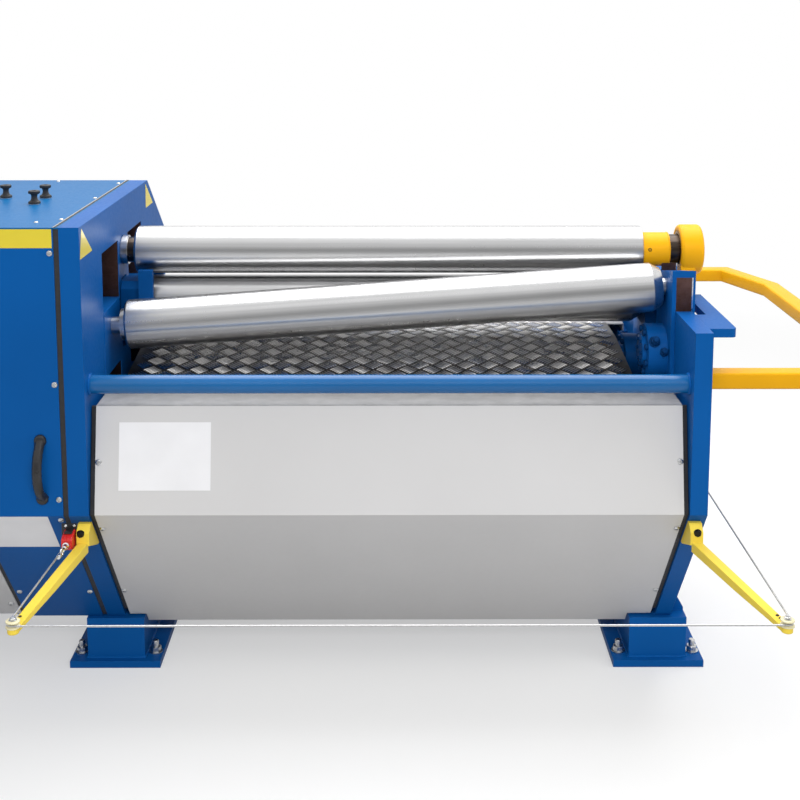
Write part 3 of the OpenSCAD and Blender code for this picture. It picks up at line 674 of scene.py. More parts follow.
class ROLLER_OT_tread(Step, bpy.types.Operator):
    """Folded chequer plate with raised bars, in squares of five that turn by turns"""
    bl_idname = "roller.tread"
    bl_label = "Chequer plate"

    # The plate's thickness, and the bars' distance from its sides and from the frame's front.
    sheet, clear, from_edge = 0.005, 0.006, 0.206
    # The bars, in shares of half a square.
    bar_apart, bar_half, bar_across = 0.262, 0.60, 0.085
    sunk, crest = 0.0004, 0.0018

    def build(self, colours, sizes):
        low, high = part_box("tread_plate")
        top = high.z + TREAD_RISE
        ys = (low.y, *(FRONT + fold for fold in TREAD_FOLDS), high.y)
        way = list(zip(ys, (high.z, high.z, top, top, high.z, high.z)))
        plate = Shape()
        plate.prism(way + [(y, z - self.sheet) for y, z in reversed(way)], low.x, high.x, ALONG_X)
        piece("folded_tread_plate", plate, "chequer plate steel", instead_of="tread_plate")
        way = [Vector((0, y, z)) for y, z in way]
        length = sum((b - a).length for a, b in zip(way, way[1:]))
        start = FRONT + self.from_edge - low.y
        end = length - (high.y - REAR + self.from_edge)
        limits = (low.x + self.clear, high.x - self.clear, start, end)
        shape = Shape()
        step = sizes.square / 2
        for i, j, k in product(range(int((high.x - low.x) / step)),
                               range(int((end - start) / step)), range(-2, 3)):
            if (i + j) % 2 == 0:
                turn, off = radians(45 if j % 2 else -45), k * step * self.bar_apart
                self.bar(shape, way, low.x + (i + 1) * step - off * sin(turn),
                         start + (j + 0.85) * step + off * cos(turn), turn, step, limits)
        piece("tread_bars", shape, "worn tread bars", smooth=50)

    def bar(self, shape, way, x, along, turn, step, limits):
        """One bar at x and at a length along the folded plate, left out on a fold."""
        half, across = step * self.bar_half, step * self.bar_across
        reach = half * abs(cos(turn))
        if not (limits[0] + reach < x < limits[1] - reach
                and limits[2] + reach < along < limits[3] - reach):
            return
        for a, b in zip(way, way[1:]):
            run = (b - a).length
            if along <= run:
                break
            along -= run
        if min(along, run - along) < self.sheet:
            return
        spot = a.lerp(b, along / run)
        lean = atan2(b.z - a.z, b.y - a.y)
        place = (Matrix.Translation((x, spot.y, spot.z)) @ Matrix.Rotation(lean, 4, "X")
                 @ Matrix.Rotation(turn, 4, "Z"))
        shape.skin([shape.loop([(half * k * cos(a), across * t * sin(a), h) for a in angles(8)],
                               place)
                    for k, t, h in ((1, 1, -self.sunk), (0.82, 0.45, self.crest))])


class ROLLER_OT_covers(Step, bpy.types.Operator):
    """Screws of the front and rear covers, and the blank film on the front one"""
    bl_idname = "roller.covers"
    bl_label = "Covers"

    def build(self, colours, sizes):
        low, high = COVER
        shape = Shape()
        for x, z in product((low.x + 0.007, high.x - 0.007), (0.646, 0.482, 0.235)):
            place, n = (x, cover_y(z), z), cover_normal(z)
            shape.screw(BUTTON, place, n, sizes.screw / 2, SHEET_SCREW_H)
            shape.screw(BUTTON, to_rear(place), (0, -n.y, n.z), sizes.screw / 2, SHEET_SCREW_H)
        flange_in, first, count = 0.190, 0.06, 6
        apart = (high.x - low.x - 2 * first) / (count - 1)
        for i, y in product(range(count), (FRONT + flange_in, REAR - flange_in)):
            shape.screw(BUTTON, (low.x + first + i * apart, y, high.z), (0, 0, 1), 0.0045, 0.0026)
        piece("cover_screws", shape, "zinc")

        seal = Shape()
        heights = (0.150, KNEE, high.z - 0.002)
        way = [(cover_y(z) + 0.003, z) for z in heights]
        way += [(cover_y(z) + 0.010, z) for z in reversed(heights)]
        for x0, x1 in ((IN_L + 0.0015, low.x - 0.0005), (high.x + 0.0005, IN_R - 0.0015)):
            seal.prism(way, x0, x1, ALONG_X)
            seal.prism([(FRONT + REAR - y, z) for y, z in way], x0, x1, ALONG_X)
        piece("cover_seals", seal, "black rubber")

        blank = Shape()
        x0, z0, z1, width = IN_L + 0.065, 0.584, 0.7335, 0.208
        n = cover_normal(z1) * 0.0004
        blank.prism([(cover_y(z0), z0), (cover_y(z0) + n.y, z0 + n.z),
                     (cover_y(z1) + n.y, z1 + n.z), (cover_y(z1), z1)], x0, x0 + width, ALONG_X)
        piece("front_cover_film", blank, "white film")


def front_strip(shape, x0, x1, z0, z1, out, thick):
    """A strip on the sheets' front face that follows the bend. out is its height over it."""
    heights = [z0, z1] if z0 >= KNEE or z1 <= KNEE else [z0, KNEE, z1]
    lines = []
    for rise in (out, out - thick):
        line = []
        for z in heights:
            n = edge_normal(z if z != KNEE else KNEE + 1)
            line.append((edge_y(z) + n.y * rise, z + n.z * rise))
        lines.append(line)
    shape.prism(lines[0] + lines[1][::-1], x0, x1, ALONG_X)


class ROLLER_OT_cabinet(Step, bpy.types.Operator):
    """Screws, seals and blank films of the drive cabinet"""
    bl_idname = "roller.cabinet"
    bl_label = "Cabinet"

    def build(self, colours, sizes):
        self.screws(sizes.screw / 2)
        self.seals()
        self.films()

    def screws(self, r):
        shape = Shape()
        far, near, top_r, top_h, side_h = END_X + 0.030, OUT_L - 0.020, 0.005, 0.003, 0.004
        for x, heights in ((near - 0.0005, (1.133, 0.836, 0.569, 0.517, 0.233)),
                           (PANEL[1].x + 0.022, (1.133, 0.836, 0.569, 0.233)),
                           (far, (1.133, 0.836, 0.569, 0.517, 0.233)),
                           (PANEL[0].x + 0.014, (0.950, 0.700, 0.500, 0.180)),
                           (PANEL[1].x - 0.014, (0.950, 0.700, 0.500, 0.180))):
            for z in heights:
                shape.screw(BUTTON, (x, edge_y(z), z), edge_normal(z), r, SHEET_SCREW_H)
        for x, y in ((OUT_L - 0.066, 0.066), (near, 0.105), (near, 0.430), (near, 0.700),
                     (OUT_L - 0.196, 0.745), (OUT_L - 0.360, 0.066), (far, 0.066),
                     (far, 0.400), (far, 0.745), (OUT_L - 0.450, 0.745)):
            shape.screw(BUTTON, (x, FRONT + y, TOP_L), (0, 0, 1), top_r, top_h)
        for x in (near, OUT_L - 0.340, far):
            for k in (0.12, 0.88):
                place = (x, ROOF_EDGE + ROOF_RUN * k, TOP_L - ROOF_DROP * k)
                shape.screw(BUTTON, place, ROOF_NORMAL, top_r, top_h)
            for z in (0.980, 0.760, 0.560, 0.480, 0.200):
                n = edge_normal(z)
                shape.screw(BUTTON, to_rear((x, edge_y(z), z)), (0, -n.y, n.z), r, side_h)
        for y, z in ((0.030, 1.150), (0.030, 0.850), (0.030, 0.560), (0.190, 0.330),
                     (0.340, 0.150), (0.500, 1.160), (0.755, 1.160), (0.970, 1.000),
                     (0.975, 0.780), (0.975, 0.560), (0.815, 0.330), (0.665, 0.150)):
            shape.screw(BUTTON, (END_X, FRONT + y, z), (-1, 0, 0), r, side_h)
        piece("cabinet_screws", shape, "zinc")

    def seals(self):
        shape, sheet_edge = Shape(), Shape()
        depth, thick, gap, width, low = 0.0012, 0.0017, 0.0004, 0.0092, BASE + 0.006
        top = PANEL[1].z + gap + width
        front_strip(shape, OUT_L - 0.0115, OUT_L - gap, low, TOP_L - 0.0035, -depth, thick)
        for x in (PANEL[0].x - gap - width, PANEL[1].x + gap):
            front_strip(shape, x, x + width, low, top, -depth, thick)
        shape.block((PANEL[0].x, FRONT + depth, PANEL[1].z + gap),
                    (PANEL[1].x, FRONT + depth + thick, top))
        self.over_the_top(shape, OUT_L - 0.0105, OUT_L - 0.0055, 0.0006)
        self.over_the_top(sheet_edge, OUT_L - 0.0130, OUT_L - 0.0105, 0.0009)
        piece("cabinet_sheet_edge", sheet_edge, "machined steel")
        piece("cabinet_seals", shape, "black rubber")

    def over_the_top(self, shape, x0, x1, rise):
        """A narrow strip along the level top and down the rear slope."""
        end, end_z = REAR - 0.003, 1.020
        slope = ROOF_NORMAL * rise
        shape.prism([(FRONT + 0.002, TOP_L), (ROOF_EDGE, TOP_L), (end, end_z),
                     (end + slope.y, end_z + slope.z), (ROOF_EDGE + slope.y / 2, TOP_L + rise),
                     (FRONT + 0.002, TOP_L + rise)], x0, x1, ALONG_X)

    def films(self):
        yellow, white = Shape(), Shape()
        rise, thick = 0.0005, 0.0004
        front_strip(yellow, OUT_L - 0.326, OUT_L - 0.0150, 1.1448, 1.1868, rise, thick)
        for corners in (((0.022, 1.184), (0.003, 1.118), (0.114, 1.118)),
                        ((0.742, 1.183), (0.738, 1.117), (0.838, 1.117))):
            yellow.prism([(FRONT + y, z) for y, z in corners], IN_L + 0.0001, IN_L + rise, ALONG_X)
        piece("yellow_films", yellow, "yellow film")
        front_strip(white, OUT_L - 0.2015, OUT_L - 0.0480, 0.417, 0.5285, rise, thick)
        piece("cabinet_white_film", white, "white film")


class ROLLER_OT_handle(Step, bpy.types.Operator):
    """Ribbed arched bar handle on two round feet"""
    bl_idname = "roller.handle"
    bl_label = "Handle"

    def build(self, colours, sizes):
        low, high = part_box("cabinet_handle")
        x, z = (low.x + high.x) / 2, (low.z + high.z) / 2
        thick, steps = 0.0092, 40
        reach = high.y - low.y - 0.009
        chord = (high.z - low.z) / 2 - 0.017
        r = (chord * chord + reach * reach) / (2 * reach)
        half = asin(min(1.0, chord / r))
        shape = Shape()
        points, scale = [], []
        for i in range(steps + 1):
            share = 2 * i / steps - 1
            a = half * share
            points.append((x, FRONT + (r - reach) - r * cos(a), z + r * sin(a)))
            flare = 0.28 * max(0.0, abs(share) - 0.80) / 0.20
            scale.append(1.0 + flare + (0.05 if i % 3 == 0 else 0))
        section = []
        for a in angles(24):
            k = thick * (1 + 0.05 * cos(6 * a))
            section.append((k * cos(a) * 1.12, k * sin(a) * 0.92))
        shape.swept(points, section, scale=scale)
        for side in (-1, 1):
            shape.turned([(0.0135, 0), (0.0138, 0.004), (0.0120, 0.0075), (0.0085, 0.0095),
                          (0, 0.0095)],
                         aimed((x, FRONT, z + side * (chord + 0.003)), (0, -1, 0)), 28)
        piece("ribbed_handle", shape, "black plastic", smooth=60, instead_of="cabinet_handle")


class ROLLER_OT_buffers(Step, bpy.types.Operator):
    """Spool-shaped rubber buffers on the cabinet"""
    bl_idname = "roller.buffers"
    bl_label = "Buffers"

    def build(self, colours, sizes):
        low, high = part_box("top_buffers")
        r, h = 0.015, high.z - low.z
        spool = [(0.0105, 0.0012), (0.0148, 0.0012), (r, 0.0045), (0.0138, 0.0068),
                 (0.0098, 0.0088), (0.0078, 0.0125), (0.0070, 0.0175), (0.0074, h - 0.0115),
                 (0.0090, h - 0.0085), (0.0130, h - 0.0072), (0.0141, h - 0.0055),
                 (0.0141, h - 0.0012), (0.0130, h), (0.0045, h), (0.0042, h - 0.0022),
                 (0, h - 0.0022)]
        rubber, metal = Shape(), Shape()
        for x, y in product((low.x + r, high.x - r), (low.y + r, high.y - r)):
            place = Matrix.Translation((x, y, low.z))
            rubber.turned(spool, place, 28)
            metal.turned([(0.0147, 0), (0.0147, 0.0012), (0.009, 0.0012)], place, 28)
        piece("rubber_buffers", rubber, "black rubber", instead_of="top_buffers")
        piece("buffer_washers", metal, "zinc")


class ROLLER_OT_guides(Step, bpy.types.Operator):
    """Bare faces and screws of the guide windows and carriages"""
    bl_idname = "roller.guides"
    bl_label = "Guides"

    def build(self, colours, sizes):
        self.jambs()
        for end in ("front", "rear"):
            self.housing(end, f"{end}_right_carriage", f"{end}_lift", sizes.flange_screws)
        # The lower left carriage gets a mild painted shade: a darker copy of the blue.
        self.cast("bottom_left_carriage", "bottom_lift", 0.002, "blue in mild painted shade")
        # The lower right carriage gets painted shade: a darker copy of the blue.
        self.cast("bottom_right_carriage", "bottom_lift", 0.0, "blue in deep painted shade")
        self.cast("front_left_carriage", "front_lift", 0.0008, face=IN_L + 0.0012)
        self.cast("rear_left_carriage", "rear_lift", 0.003)
        low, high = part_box("rear_left_carriage")
        # Its screws get painted shade: a darker copy of the blue.
        self.screws("rear_left_screws", "blue in deep painted shade", "rear_lift", high.x,
                    (low.y + high.y) / 2, 0.062, (low.z + 0.030, low.z + 0.130), 0.0075, 0.0045)
        low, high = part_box("bottom_left_carriage")
        self.screws("bottom_left_screws", "black oxide", "bottom_lift", high.x - 0.015,
                    centre("bottom_roll").y, 0.066, (low.z + 0.030, low.z + 0.075), 0.005, 0.0035)

    def jambs(self):
        shape = Shape()
        thick, inset = 0.00015, 0.0015
        top_y = centre("top_roll").y
        for (x0, x1, low, high), side, jamb in product(
                ((OUT_L, IN_L, 0.700, 1.092), (IN_R, OUT_R, 0.600, TOP_R)),
                (-ROLLS_APART, ROLLS_APART), (-HALF_WINDOW, HALF_WINDOW - thick)):
            y = top_y + side + jamb
            shape.block((x0 + inset, y, low), (x1 - inset, y + thick, high - 0.001))
        piece("window_faces", shape, "greasy steel")

    def screws(self, name, look, body, x, mid_y, apart, heights, r, h):
        shape = Shape()
        for y, z in product((mid_y - apart, mid_y + apart), heights):
            shape.screw(CAP_SCREW, (x, y, z), (1, 0, 0), r, h)
        piece(name, shape, look, body)

    def cast(self, node, body, radius, paint="machine blue", face=None):
        """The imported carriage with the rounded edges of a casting, planed off at face.
        The bore's rim moves with the tilt of the front roll."""
        shape = Shape(node)
        if face is not None:
            middle = centre(node).y
            for vert in shape.bm.verts:
                over = vert.co.x - face
                if over > 0:
                    vert.co.x = face
                    if abs(vert.co.y - middle) < 0.080:
                        vert.co.z -= over * FRONT_ROLL_AXIS[2] / FRONT_ROLL_AXIS[0]
        piece(node.replace("carriage", "casting"), shape, paint, body, radius, segments=3,
              instead_of=node)

    def housing(self, end, node, body, count):
        """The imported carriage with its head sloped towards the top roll, and its fine parts."""
        low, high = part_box(node)
        mid_y, side = (low.y + high.y) / 2, -1 if end == "front" else 1
        slope, outer = 0.203, low.y if side < 0 else high.y
        shape = Shape(node)
        cut = bmesh.ops.bisect_plane(
            shape.bm, geom=shape.bm.verts[:] + shape.bm.edges[:] + shape.bm.faces[:],
            plane_co=(0, outer, high.z), plane_no=Vector((0, -side * slope, 1)).normalized(),
            clear_outer=True)
        rim = [e for e in cut["geom_cut"] if isinstance(e, bmesh.types.BMEdge)]
        bmesh.ops.contextual_create(shape.bm, geom=rim)
        piece(f"{end}_right_housing", shape, "machine blue", body, 0.001, instead_of=node)

        for name, look, thick, x0, x1 in (
                ("slide_faces", "greasy steel", 0.00015, IN_R, OUT_R - 0.0035),
                ("bright_edge", "chrome", 0.0002, OUT_R - 0.0030, OUT_R - 0.0002)):
            skin = Shape()
            for y in (low.y - thick, high.y):
                skin.block((x0, y, low.z + 0.004), (x1, y + thick, high.z - 0.0165))
            piece(f"{end}_right_{name}", skin, look, body)

        caps, fittings = Shape(), Shape()
        face, z = low.x + 0.010, high.z - 0.215
        for x, ring, n, start, r, h in ((face, 0.053, count, pi / count, 0.0075, 0.008),
                                        (low.x, 0.028, 6, 0.0, 0.0045, 0.0045)):
            for y, up in circle(ring, n, start):
                caps.screw(CAP_SCREW, (x, mid_y + y, z + up), (-1, 0, 0), r, h)
        # The flange screws and fittings get painted shade: a darker copy of the blue.
        piece(f"{end}_right_screws", caps, "blue in deep painted shade", body)
        for x, up in ((face + 0.014, 0.034), (face + 0.036, 0.006)):
            way = Vector((0, side, 0.55))
            spot = (x, mid_y + side * 0.0560, z + up)
            fittings.screw(HEX_BOLT, spot, way, 0.0095, 0.017, 0.3)
            fittings.turned([(0.006, 0.014), (0.006, 0.022), (0.0075, 0.022), (0.0075, 0.028),
                             (0.0055, 0.030), (0, 0.030)], aimed(spot, way), 20)
        piece(f"{end}_right_fittings", fittings, "blue in deep painted shade", body)


class ROLLER_OT_rolls(Step, bpy.types.Operator):
    """End disc of the top roll, and the screws and rim of its sleeve"""
    bl_idname = "roller.rolls"
    bl_label = "Rolls"

    def build(self, colours, sizes):
        tip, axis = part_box("top_roll")[1].x, centre("top_roll")
        disc, screws, rim = Shape(), Shape(), Shape()
        disc.turned([(0.030, 0), (0.030, 0.0012), (0.0285, 0.0018), (0.0085, 0.0018),
                     (0.0065, -0.003), (0, -0.008)], aimed((tip, axis.y, axis.z), (1, 0, 0)), 40)
        for y, z in circle(0.0195, 3, pi / 2):
            disc.screw(CAP_SCREW, (tip + 0.0016, axis.y + y, axis.z + z), (1, 0, 0), 0.005, 0.0045)
        piece("top_roll_end_disc", disc, "machined steel", "top_roll")
        low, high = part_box("top_roll_sleeve")
        r = (high.y - low.y) / 2
        for y, z in circle(1.0, 3, 0.9):
            n = Vector((0, y, z))
            screws.screw(CAP_SCREW, Vector((low.x + 0.018, axis.y, axis.z)) + n * (r - 0.0015), n,
                         0.0045, 0.0022)
        piece("sleeve_screws", screws, "black oxide", "top_roll")
        rim.turned([(r, 0), (r + 0.0010, 0.0007), (r + 0.0010, 0.0022), (r, 0.003)],
                   aimed((high.x - 0.004, axis.y, axis.z), (1, 0, 0)), 64)
        piece("sleeve_rim", rim, "signal yellow", "top_roll")


class ROLLER_OT_drop_end(Step, bpy.types.Operator):
    """Cast yoke with rounded rims, its pin rings and the screws of the lugs"""
    bl_idname = "roller.drop_end"
    bl_label = "Drop end"

    def build(self, colours, sizes):
        low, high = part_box("drop_end_yoke")
        axis, pin = centre("yoke_bush"), centre("drop_end_pin")
        half, outer = (high.x - low.x) / 2, high.z - axis.z
        self.ring(axis, outer, half)
        self.arm(axis, pin, outer, half)
        self.small_parts(axis, pin, outer)

    def ring(self, axis, outer, half):
        bush_low, bush_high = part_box("yoke_bush")
        bore, chamfer, round_r = (bush_high.z - bush_low.z) / 2 + 0.00005, 0.0015, 0.009
        rim = [(bore, -half + chamfer), (bore + chamfer, -half)]
        quarter = [pi / 2 * k / 6 for k in range(7)]
        rim += [(outer - round_r + round_r * sin(a), -half + round_r - round_r * cos(a))
                for a in quarter]
        rim += [(outer - round_r + round_r * cos(a), half - round_r + round_r * sin(a))
                for a in quarter]
        rim += [(bore + chamfer, half), (bore, half - chamfer)]
        shape = Shape()
        shape.turned(rim, aimed(axis, (1, 0, 0)), 72, closed=True)
        piece("cast_yoke_ring", shape, "signal yellow", "drop_end", smooth=50,
              instead_of="drop_end_yoke")

    def arm(self, axis, pin, outer, half):
        """The neck under the ring with its gusset, and the eye round the pin."""
        arm, eye = Shape(), Shape()
        width, thick, shoulder = 0.0345, 0.036, 0.052
        left, r = axis.x - half, outer - 0.006
        outline = []
        for k in range(17):
            a = radians(-148 + 116 * k / 16)
            outline.append((axis.y + r * cos(a), axis.z + r * sin(a)))
        outline += [(axis.y + shoulder, axis.z - 0.044), (axis.y + width, axis.z - 0.150),
                    (pin.y + width, pin.z), (pin.y - width, pin.z),
                    (axis.y - width, axis.z - 0.150), (axis.y - shoulder, axis.z - 0.044)]
        arm.prism(outline, left, left + thick, ALONG_X)
        root, high = left + thick - 0.002, axis.z - 0.058
        arm.prism([(root, axis.z - 0.110), (root, high), (axis.x + half - 0.012, high)],
                  axis.y - 0.006, axis.y + 0.006, ALONG_Y)
        piece("cast_yoke_arm", arm, "signal yellow", "drop_end", 0.003)
        bore, chamfer = 0.0152, 0.002
        eye.turned([(bore, -width), (half - chamfer, -width), (half, chamfer - width),
                    (half, width - chamfer), (half - chamfer, width), (bore, width)],
                   aimed((pin.x, axis.y, pin.z), (0, 1, 0)), 48, closed=True)
        piece("cast_yoke_eye", eye, "signal yellow", "drop_end")

    def small_parts(self, axis, pin, outer):
        nipple, rings, screws = Shape(), Shape(), Shape()
        way = Vector((0, sin(0.9), cos(0.9)))
        nipple.turned([(0.005, -0.001, 6), (0.005, 0.003, 6), (0.0032, 0.003), (0.0026, 0.006),
                       (0.0034, 0.008), (0.0018, 0.010), (0, 0.010)],
                      aimed(axis + way * outer + Vector((0.004, 0, 0)), way))
        piece("grease_nipple", nipple, "zinc", "drop_end")
        low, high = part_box("drop_end_pin")
        rings.turned([(0.0148, 0), (0.0185, 0), (0.0188, 0.0006), (0.0185, 0.0014),
                      (0.0148, 0.0014)], aimed((pin.x, high.y - 0.0028, pin.z), (0, 1, 0)), 36)
        rings.turned([(0.0105, 0), (0.0105, 0.0012), (0.009, 0.002), (0.003, 0.002), (0, -0.001)],
                     aimed((pin.x, low.y, pin.z), (0, -1, 0)), 36)
        piece("pin_ring", rings, "zinc")
        low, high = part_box("drop_end_lugs")
        for y, z in product((axis.y - 0.024, axis.y + 0.024), (low.z + 0.012, high.z - 0.012)):
            screws.screw(CAP_SCREW, (OUT_R + 0.006, y, z), (1, 0, 0), 0.0055, 0.0045)
        piece("lug_screws", screws, "black oxide")


class ROLLER_OT_trip_gear(Step, bpy.types.Operator):
    """Pulleys, bolts and eye bolts of the trip wire, and its pull switch"""
    bl_idname = "roller.trip_gear"
    bl_label = "Trip wire gear"

    pulley = [(0.0125, -0.0072), (0.0142, -0.0066), (0.0142, -0.0042), (0.0086, -0.0022),
              (0.0086, 0.0022), (0.0138, 0.0042), (0.0138, 0.0068), (0.0120, 0.0076),
              (0.004, 0.0076)]

    def build(self, colours, sizes):
        nylon, nuts, bolts = Shape(), Shape(), Shape()
        tip_in, proud, bolt_z = 0.013, 0.0125, 0.4935
        for end, hand in product(("front", "rear"), ("left", "right")):
            node = f"{end}_{hand}_trip_arm"
            low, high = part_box(node)
            front, left = end == "front", hand == "left"
            tip = Vector((low.x + tip_in if left else high.x - tip_in,
                          low.y + tip_in if front else high.y - tip_in, WIRE_Z))
            root = Vector((IN_L - 0.0165 if left else IN_R + 0.0155,
                           FRONT - proud if front else REAR + proud, WIRE_Z))
            nylon.turned(self.pulley, Matrix.Translation(tip), 32)
            nuts.nut_and_stud(tip + Vector((0, 0, 0.0076)), 0.0055, 0.005, 0.003, 0.002)
            self.arm(node, left, front, tip)
            bolts.screw(HEX_BOLT, (root.x, root.y, bolt_z), (0, -1 if front else 1, 0),
                        0.0065, 0.007, 0.4)
            way = (root - tip).normalized()
            across = Vector((-way.y, way.x, 0)) * (1 if left == front else -1)
            for step in (0.034, 0.046):
                spot = tip + way * step - Vector((0, 0, ARM_TOP))
                bolts.screw(BUTTON, spot + across * 0.0102 - Vector((0, 0, 0.006)), across,
                            0.0040, 0.003)
                bolts.screw(BUTTON, spot + across * 0.004, (0, 0, 1), 0.0036, 0.002)
        piece("trip_pulleys", nylon, "pulley nylon")
        piece("trip_tip_nuts", nuts, "zinc")
        piece("trip_bolts", bolts, "black oxide")
        self.switch()

    def arm(self, node, left, front, tip):
        """A bracket on the plate's edge and a flat bar that narrows to the pulley."""
        x = IN_L - 0.012 if left else IN_R + 0.014
        shape = Shape()
        low_z, high_z = WIRE_Z - 0.046, WIRE_Z + 0.030
        nose, back, half_width, half_nose = FRONT - 0.014, 0.012, 0.0145, 0.015
        side = [(edge_y(high_z), high_z), (edge_y(low_z), low_z), (edge_y(low_z) - back, low_z),
                (nose, WIRE_Z - half_nose), (nose, WIRE_Z + half_nose),
                (edge_y(high_z) - back, high_z)]
        shape.prism(side, x - half_width, x + half_width, ALONG_X)
        if not front:
            tip = to_rear(tip)
        root = Vector((x, nose + 0.004, WIRE_Z))
        across = (tip - root).normalized().cross(Vector((0, 0, 1)))
        shape.skin([shape.loop([place + across * u + Vector((0, 0, v))
                                for u, v in oblong(half, -half, -ARM_TOP - depth, -ARM_TOP)])
                    for place, half, depth in ((root, 0.0115, 0.0225),
                                               (root.lerp(tip, 0.5), 0.0105, 0.0185),
                                               (tip, 0.0095, 0.0105))])
        shape.turned([(0.0105, -ARM_TOP - 0.0105), (0.0115, -ARM_TOP - 0.0095),
                      (0.0115, -ARM_TOP + 0.0005), (0, -ARM_TOP + 0.0005)],
                     Matrix.Translation(tip), 28)
        if not front:
            for vert in shape.bm.verts:
                vert.co = to_rear(vert.co)
        piece(node.replace("trip_arm", "tapered_arm"), shape, "trip yellow", soften=0.0012,
              instead_of=node)

    def switch(self):
        low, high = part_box("limit_switch")
        x, z = (low.x + high.x) / 2, WIRE_Z
        w = (high.x - low.x) / 2 - 0.001
        body, plate = Shape(), Shape()
        body.prism([(FRONT + 0.002, z - 0.018), (FRONT + 0.002, z + 0.021),
                    (FRONT - 0.012, z + 0.021), (FRONT - 0.032, z + 0.015), (low.y, z + 0.010),
                    (low.y, z - 0.011), (FRONT - 0.030, z - 0.017)], x - w, x + w, ALONG_X)
        piece("pull_switch_body", body, "red plastic", soften=0.003, segments=3,
              instead_of="limit_switch")
        plate.block((low.x - 0.006, FRONT - 0.004, z - 0.024), (high.x + 0.001, FRONT, z + 0.034))
        plate.block((x - w * 0.7, FRONT - 0.026, z + 0.0185),
                    (x + w * 0.7, FRONT - 0.004, z + 0.0225))
        piece("switch_plate", plate, "black plastic", soften=0.001)
        self.eye_bolts(low, high, x, z)

    def eye_bolts(self, low, high, x, z):
        """The switch's eye bolt and wire clamp, its plate's screws and the anchor's bolt."""
        metal = Shape()
        start = Vector((x, low.y, z))
        metal.turned([(0.0075, 0), (0.0075, 0.006), (0.0055, 0.008), (0.0055, 0.020),
                      (0.004, 0.022), (0.004, 0.032), (0, 0.032)], aimed(start, (0, -1, 0)))
        eye = start + Vector((0, -0.040, 0))
        metal.swept([eye + Vector((0, v, w)) for v, w in circle(0.0085, 20)], circle(0.0019, 8),
                    closed=True)
        metal.turned([(0.0045, 0), (0.005, 0.001), (0.005, 0.014), (0.0045, 0.015)],
                     aimed(eye + Vector((-0.0006, -0.026, 0)), (0.05, 1, 0)), 20)
        for side in (low.x + 0.004, high.x - 0.004):
            metal.screw(BUTTON, (side, FRONT - 0.004, z + 0.029), (0, -1, 0), 0.0035, 0.002)
        anchor = centre("wire_anchor")
        back = (anchor.x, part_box("wire_anchor")[1].y, z)
        metal.turned([(0.0075, 0), (0.0075, 0.004), (0.0045, 0.005), (0.0045, 0.020), (0, 0.020)],
                     aimed(back, (0, 1, 0)))
        piece("wire_eye_bolts", metal, "chrome")


class ROLLER_OT_guard_rail(Step, bpy.types.Operator):
    """Rectangular tube rail with rounded corners, bolted to the right plate"""
    bl_idname = "roller.guard_rail"
    bl_label = "Guard rail"

    def build(self, colours, sizes):
        low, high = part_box("guard_rail")
        r, half_h, c = 0.025, (high.z - low.z) / 2, 0.006
        z, rear_x, outer_x = (low.z + high.z) / 2, low.x + r, high.x - r
        run, rise = 0.093, 0.251  # of the slanting part, in x and in y
        slant = hypot(run, rise)
        off, off2 = r * (slant - rise) / run, r * (slant - run) / rise
        points = [(rear_x, REAR + 0.0005, z), (rear_x, high.y - r, z),
                  (high.x - run - off2, high.y - r, z), (outer_x, high.y - rise - off, z),
                  (outer_x, low.y + rise + off, z), (high.x - run - off2, low.y + r, z),
                  (OUT_R + 0.0005, low.y + r, z)]
        section = []
        for cx, cy, start in ((r - c, half_h - c, 0), (-r + c, half_h - c, 90),
                              (-r + c, -half_h + c, 180), (r - c, -half_h + c, 270)):
            for k in range(5):
                t = radians(start + 90 * k / 4)
                section.append((cx + c * cos(t), cy + c * sin(t)))
        shape = Shape()
        self.mitred(shape, [Vector(p) for p in points], section)
        piece("tube_rail", shape, "signal yellow", smooth=40, instead_of="guard_rail")
        plates, screws = Shape(), Shape()
        y, half_z, thick = low.y + r, 0.045, 0.010
        plates.block((OUT_R, y - 0.036, z - half_z), (OUT_R + thick, y + 0.0245, z + half_z))
        plates.block((rear_x - 0.032, REAR, z - half_z), (rear_x + 0.032, REAR + thick, z + half_z))
        piece("rail_end_plates", plates, "signal yellow", soften=0.0015)
        for dz in (-0.033, 0.033):
            for dy in (-0.024, 0.012):
                screws.screw(HEX_BOLT, (OUT_R + thick, y + dy, z + dz), (1, 0, 0),
                             0.0065, 0.007, 0.2)
            for dx in (-0.020, 0.020):
                screws.screw(HEX_BOLT, (rear_x + dx, REAR + thick, z + dz), (0, 1, 0),
                             0.0065, 0.007, 0.5)
        piece("rail_bolts", screws, "zinc")

    def mitred(self, shape, pts, section):
        """A level tube through the points, with a mitre at every bend."""
        rings = []
        for i, p in enumerate(pts):
            d1 = (p - pts[i - 1]).normalized() if i else (pts[1] - p).normalized()
            d2 = (pts[i + 1] - p).normalized() if i < len(pts) - 1 else d1
            n1, n2 = Vector((d1.y, -d1.x, 0)), Vector((d2.y, -d2.x, 0))
            m = (n1 + n2) / (1 + n1.dot(n2))
            rings.append(shape.loop([p + m * u + Vector((0, 0, v)) for u, v in section]))
        shape.skin(rings)


class ROLLER_OT_feet(Step, bpy.types.Operator):
    """Floor anchors in the foot pads"""
    bl_idname = "roller.feet"
    bl_label = "Feet"

    def build(self, colours, sizes):
        shape = Shape()
        for node in ("left_foot", "right_foot", "cabinet_foot"):
            low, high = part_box(node)
            far = low.x + 0.210 if node == "right_foot" else high.x - 0.020
            for x, y in product((low.x + 0.020, far), (low.y + 0.050, high.y - 0.050)):
                shape.nut_and_stud((x, y, PAD), 0.012, 0.016, 0.0078, 0.014)
        piece("floor_anchors", shape, "zinc")


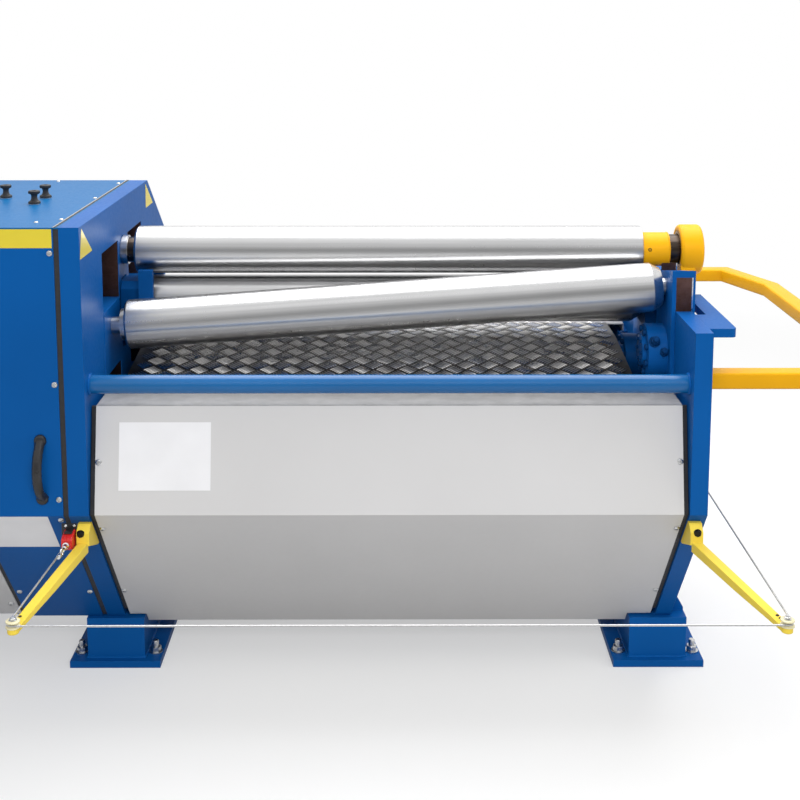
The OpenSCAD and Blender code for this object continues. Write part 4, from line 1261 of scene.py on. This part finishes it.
class ROLLER_OT_welds(Step, bpy.types.Operator):
    """Painted weld beads at the tie tubes, feet, shelves and lugs"""
    bl_idname = "roller.welds"
    bl_label = "Welds"

    def build(self, colours, sizes):
        blue, yellow, r = Shape(), Shape(), sizes.weld
        for node in ("front_tie_tube", "rear_tie_tube"):
            low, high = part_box(node)
            mid = (low + high) / 2
            for x in (low.x + 0.001, high.x - 0.001):
                blue.weld([(x, mid.y + v, mid.z + w) for v, w in circle((high.z - low.z) / 2, 16)],
                          r, True)
        for node in ("left_foot", "right_foot", "cabinet_foot"):
            low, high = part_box(node)
            blue.weld([(u, v, PAD) for u, v in oblong(low.x + 0.042, low.x + 0.188,
                                                      low.y + 0.020, high.y - 0.020)], r, True)
        start = Vector((0, edge_y(BASE) + 0.004, BASE))
        for x in (OUT_L, IN_L, OUT_R, IN_R):
            blue.weld([(x, *end[1:]) for end in (start, to_rear(start))], r)
        for node, sign in (("front_shelf", 1), ("rear_shelf", -1)):
            low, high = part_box(node)
            start = low.y + 0.004 if sign > 0 else high.y - 0.004
            blue.weld([(OUT_R, start, low.z), (OUT_R, start + sign * 0.150, low.z)], r * 0.8)
        low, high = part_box("drop_end_lugs")
        for y in (low.y, high.y):
            blue.weld([(OUT_R + 0.001, y, low.z + 0.004), (OUT_R + 0.001, y, high.z - 0.004)],
                      r * 0.8)
        piece("painted_welds", blue, "machine blue", smooth=70)
        low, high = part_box("guard_rail")
        x, y, z = low.x + 0.025, low.y + 0.025, (low.z + high.z) / 2
        half, half_z, out = 0.0245, 0.019, 0.0105
        yellow.weld([(OUT_R + out, v, w) for v, w in oblong(y - half, y + 0.0230,
                                                            z - half_z, z + half_z)],
                    r * 0.6, True)
        yellow.weld([(v, REAR + out, w) for v, w in oblong(x - half, x + half,
                                                           z - half_z, z + half_z)],
                    r * 0.6, True)
        piece("rail_welds", yellow, "signal yellow", smooth=70)


OPERATORS = (
    ROLLER_OT_stage, ROLLER_OT_paintwork, ROLLER_OT_tread, ROLLER_OT_covers, ROLLER_OT_cabinet,
    ROLLER_OT_handle, ROLLER_OT_buffers, ROLLER_OT_guides, ROLLER_OT_rolls, ROLLER_OT_drop_end,
    ROLLER_OT_trip_gear, ROLLER_OT_guard_rail, ROLLER_OT_feet, ROLLER_OT_welds,
)


class ROLLER_PT_panel(bpy.types.Panel):
    """Lists the steps and the values that they use"""
    bl_idname = "ROLLER_PT_panel"
    bl_label = "Plate rolling machine"
    bl_space_type = "VIEW_3D"
    bl_region_type = "UI"
    bl_category = "Plate roller"

    def draw(self, context):
        for group in (context.scene.roller_colours, context.scene.roller_sizes):
            box = self.layout.box()
            for name in group.__annotations__:
                box.prop(group, name)
        for step in OPERATORS:
            self.layout.operator(step.bl_idname)


CLASSES = (RollerColours, RollerSizes, *OPERATORS, ROLLER_PT_panel)


def register():
    for cls in CLASSES:
        bpy.utils.register_class(cls)
    bpy.types.Scene.roller_colours = PointerProperty(type=RollerColours)
    bpy.types.Scene.roller_sizes = PointerProperty(type=RollerSizes)


def unregister():
    del bpy.types.Scene.roller_sizes
    del bpy.types.Scene.roller_colours
    for cls in reversed(CLASSES):
        bpy.utils.unregister_class(cls)


def main():
    register()
    for step in OPERATORS:
        group, name = step.bl_idname.split(".")
        getattr(getattr(bpy.ops, group), name)()
    bpy.context.view_layer.update()


if __name__ == "__main__":
    main()
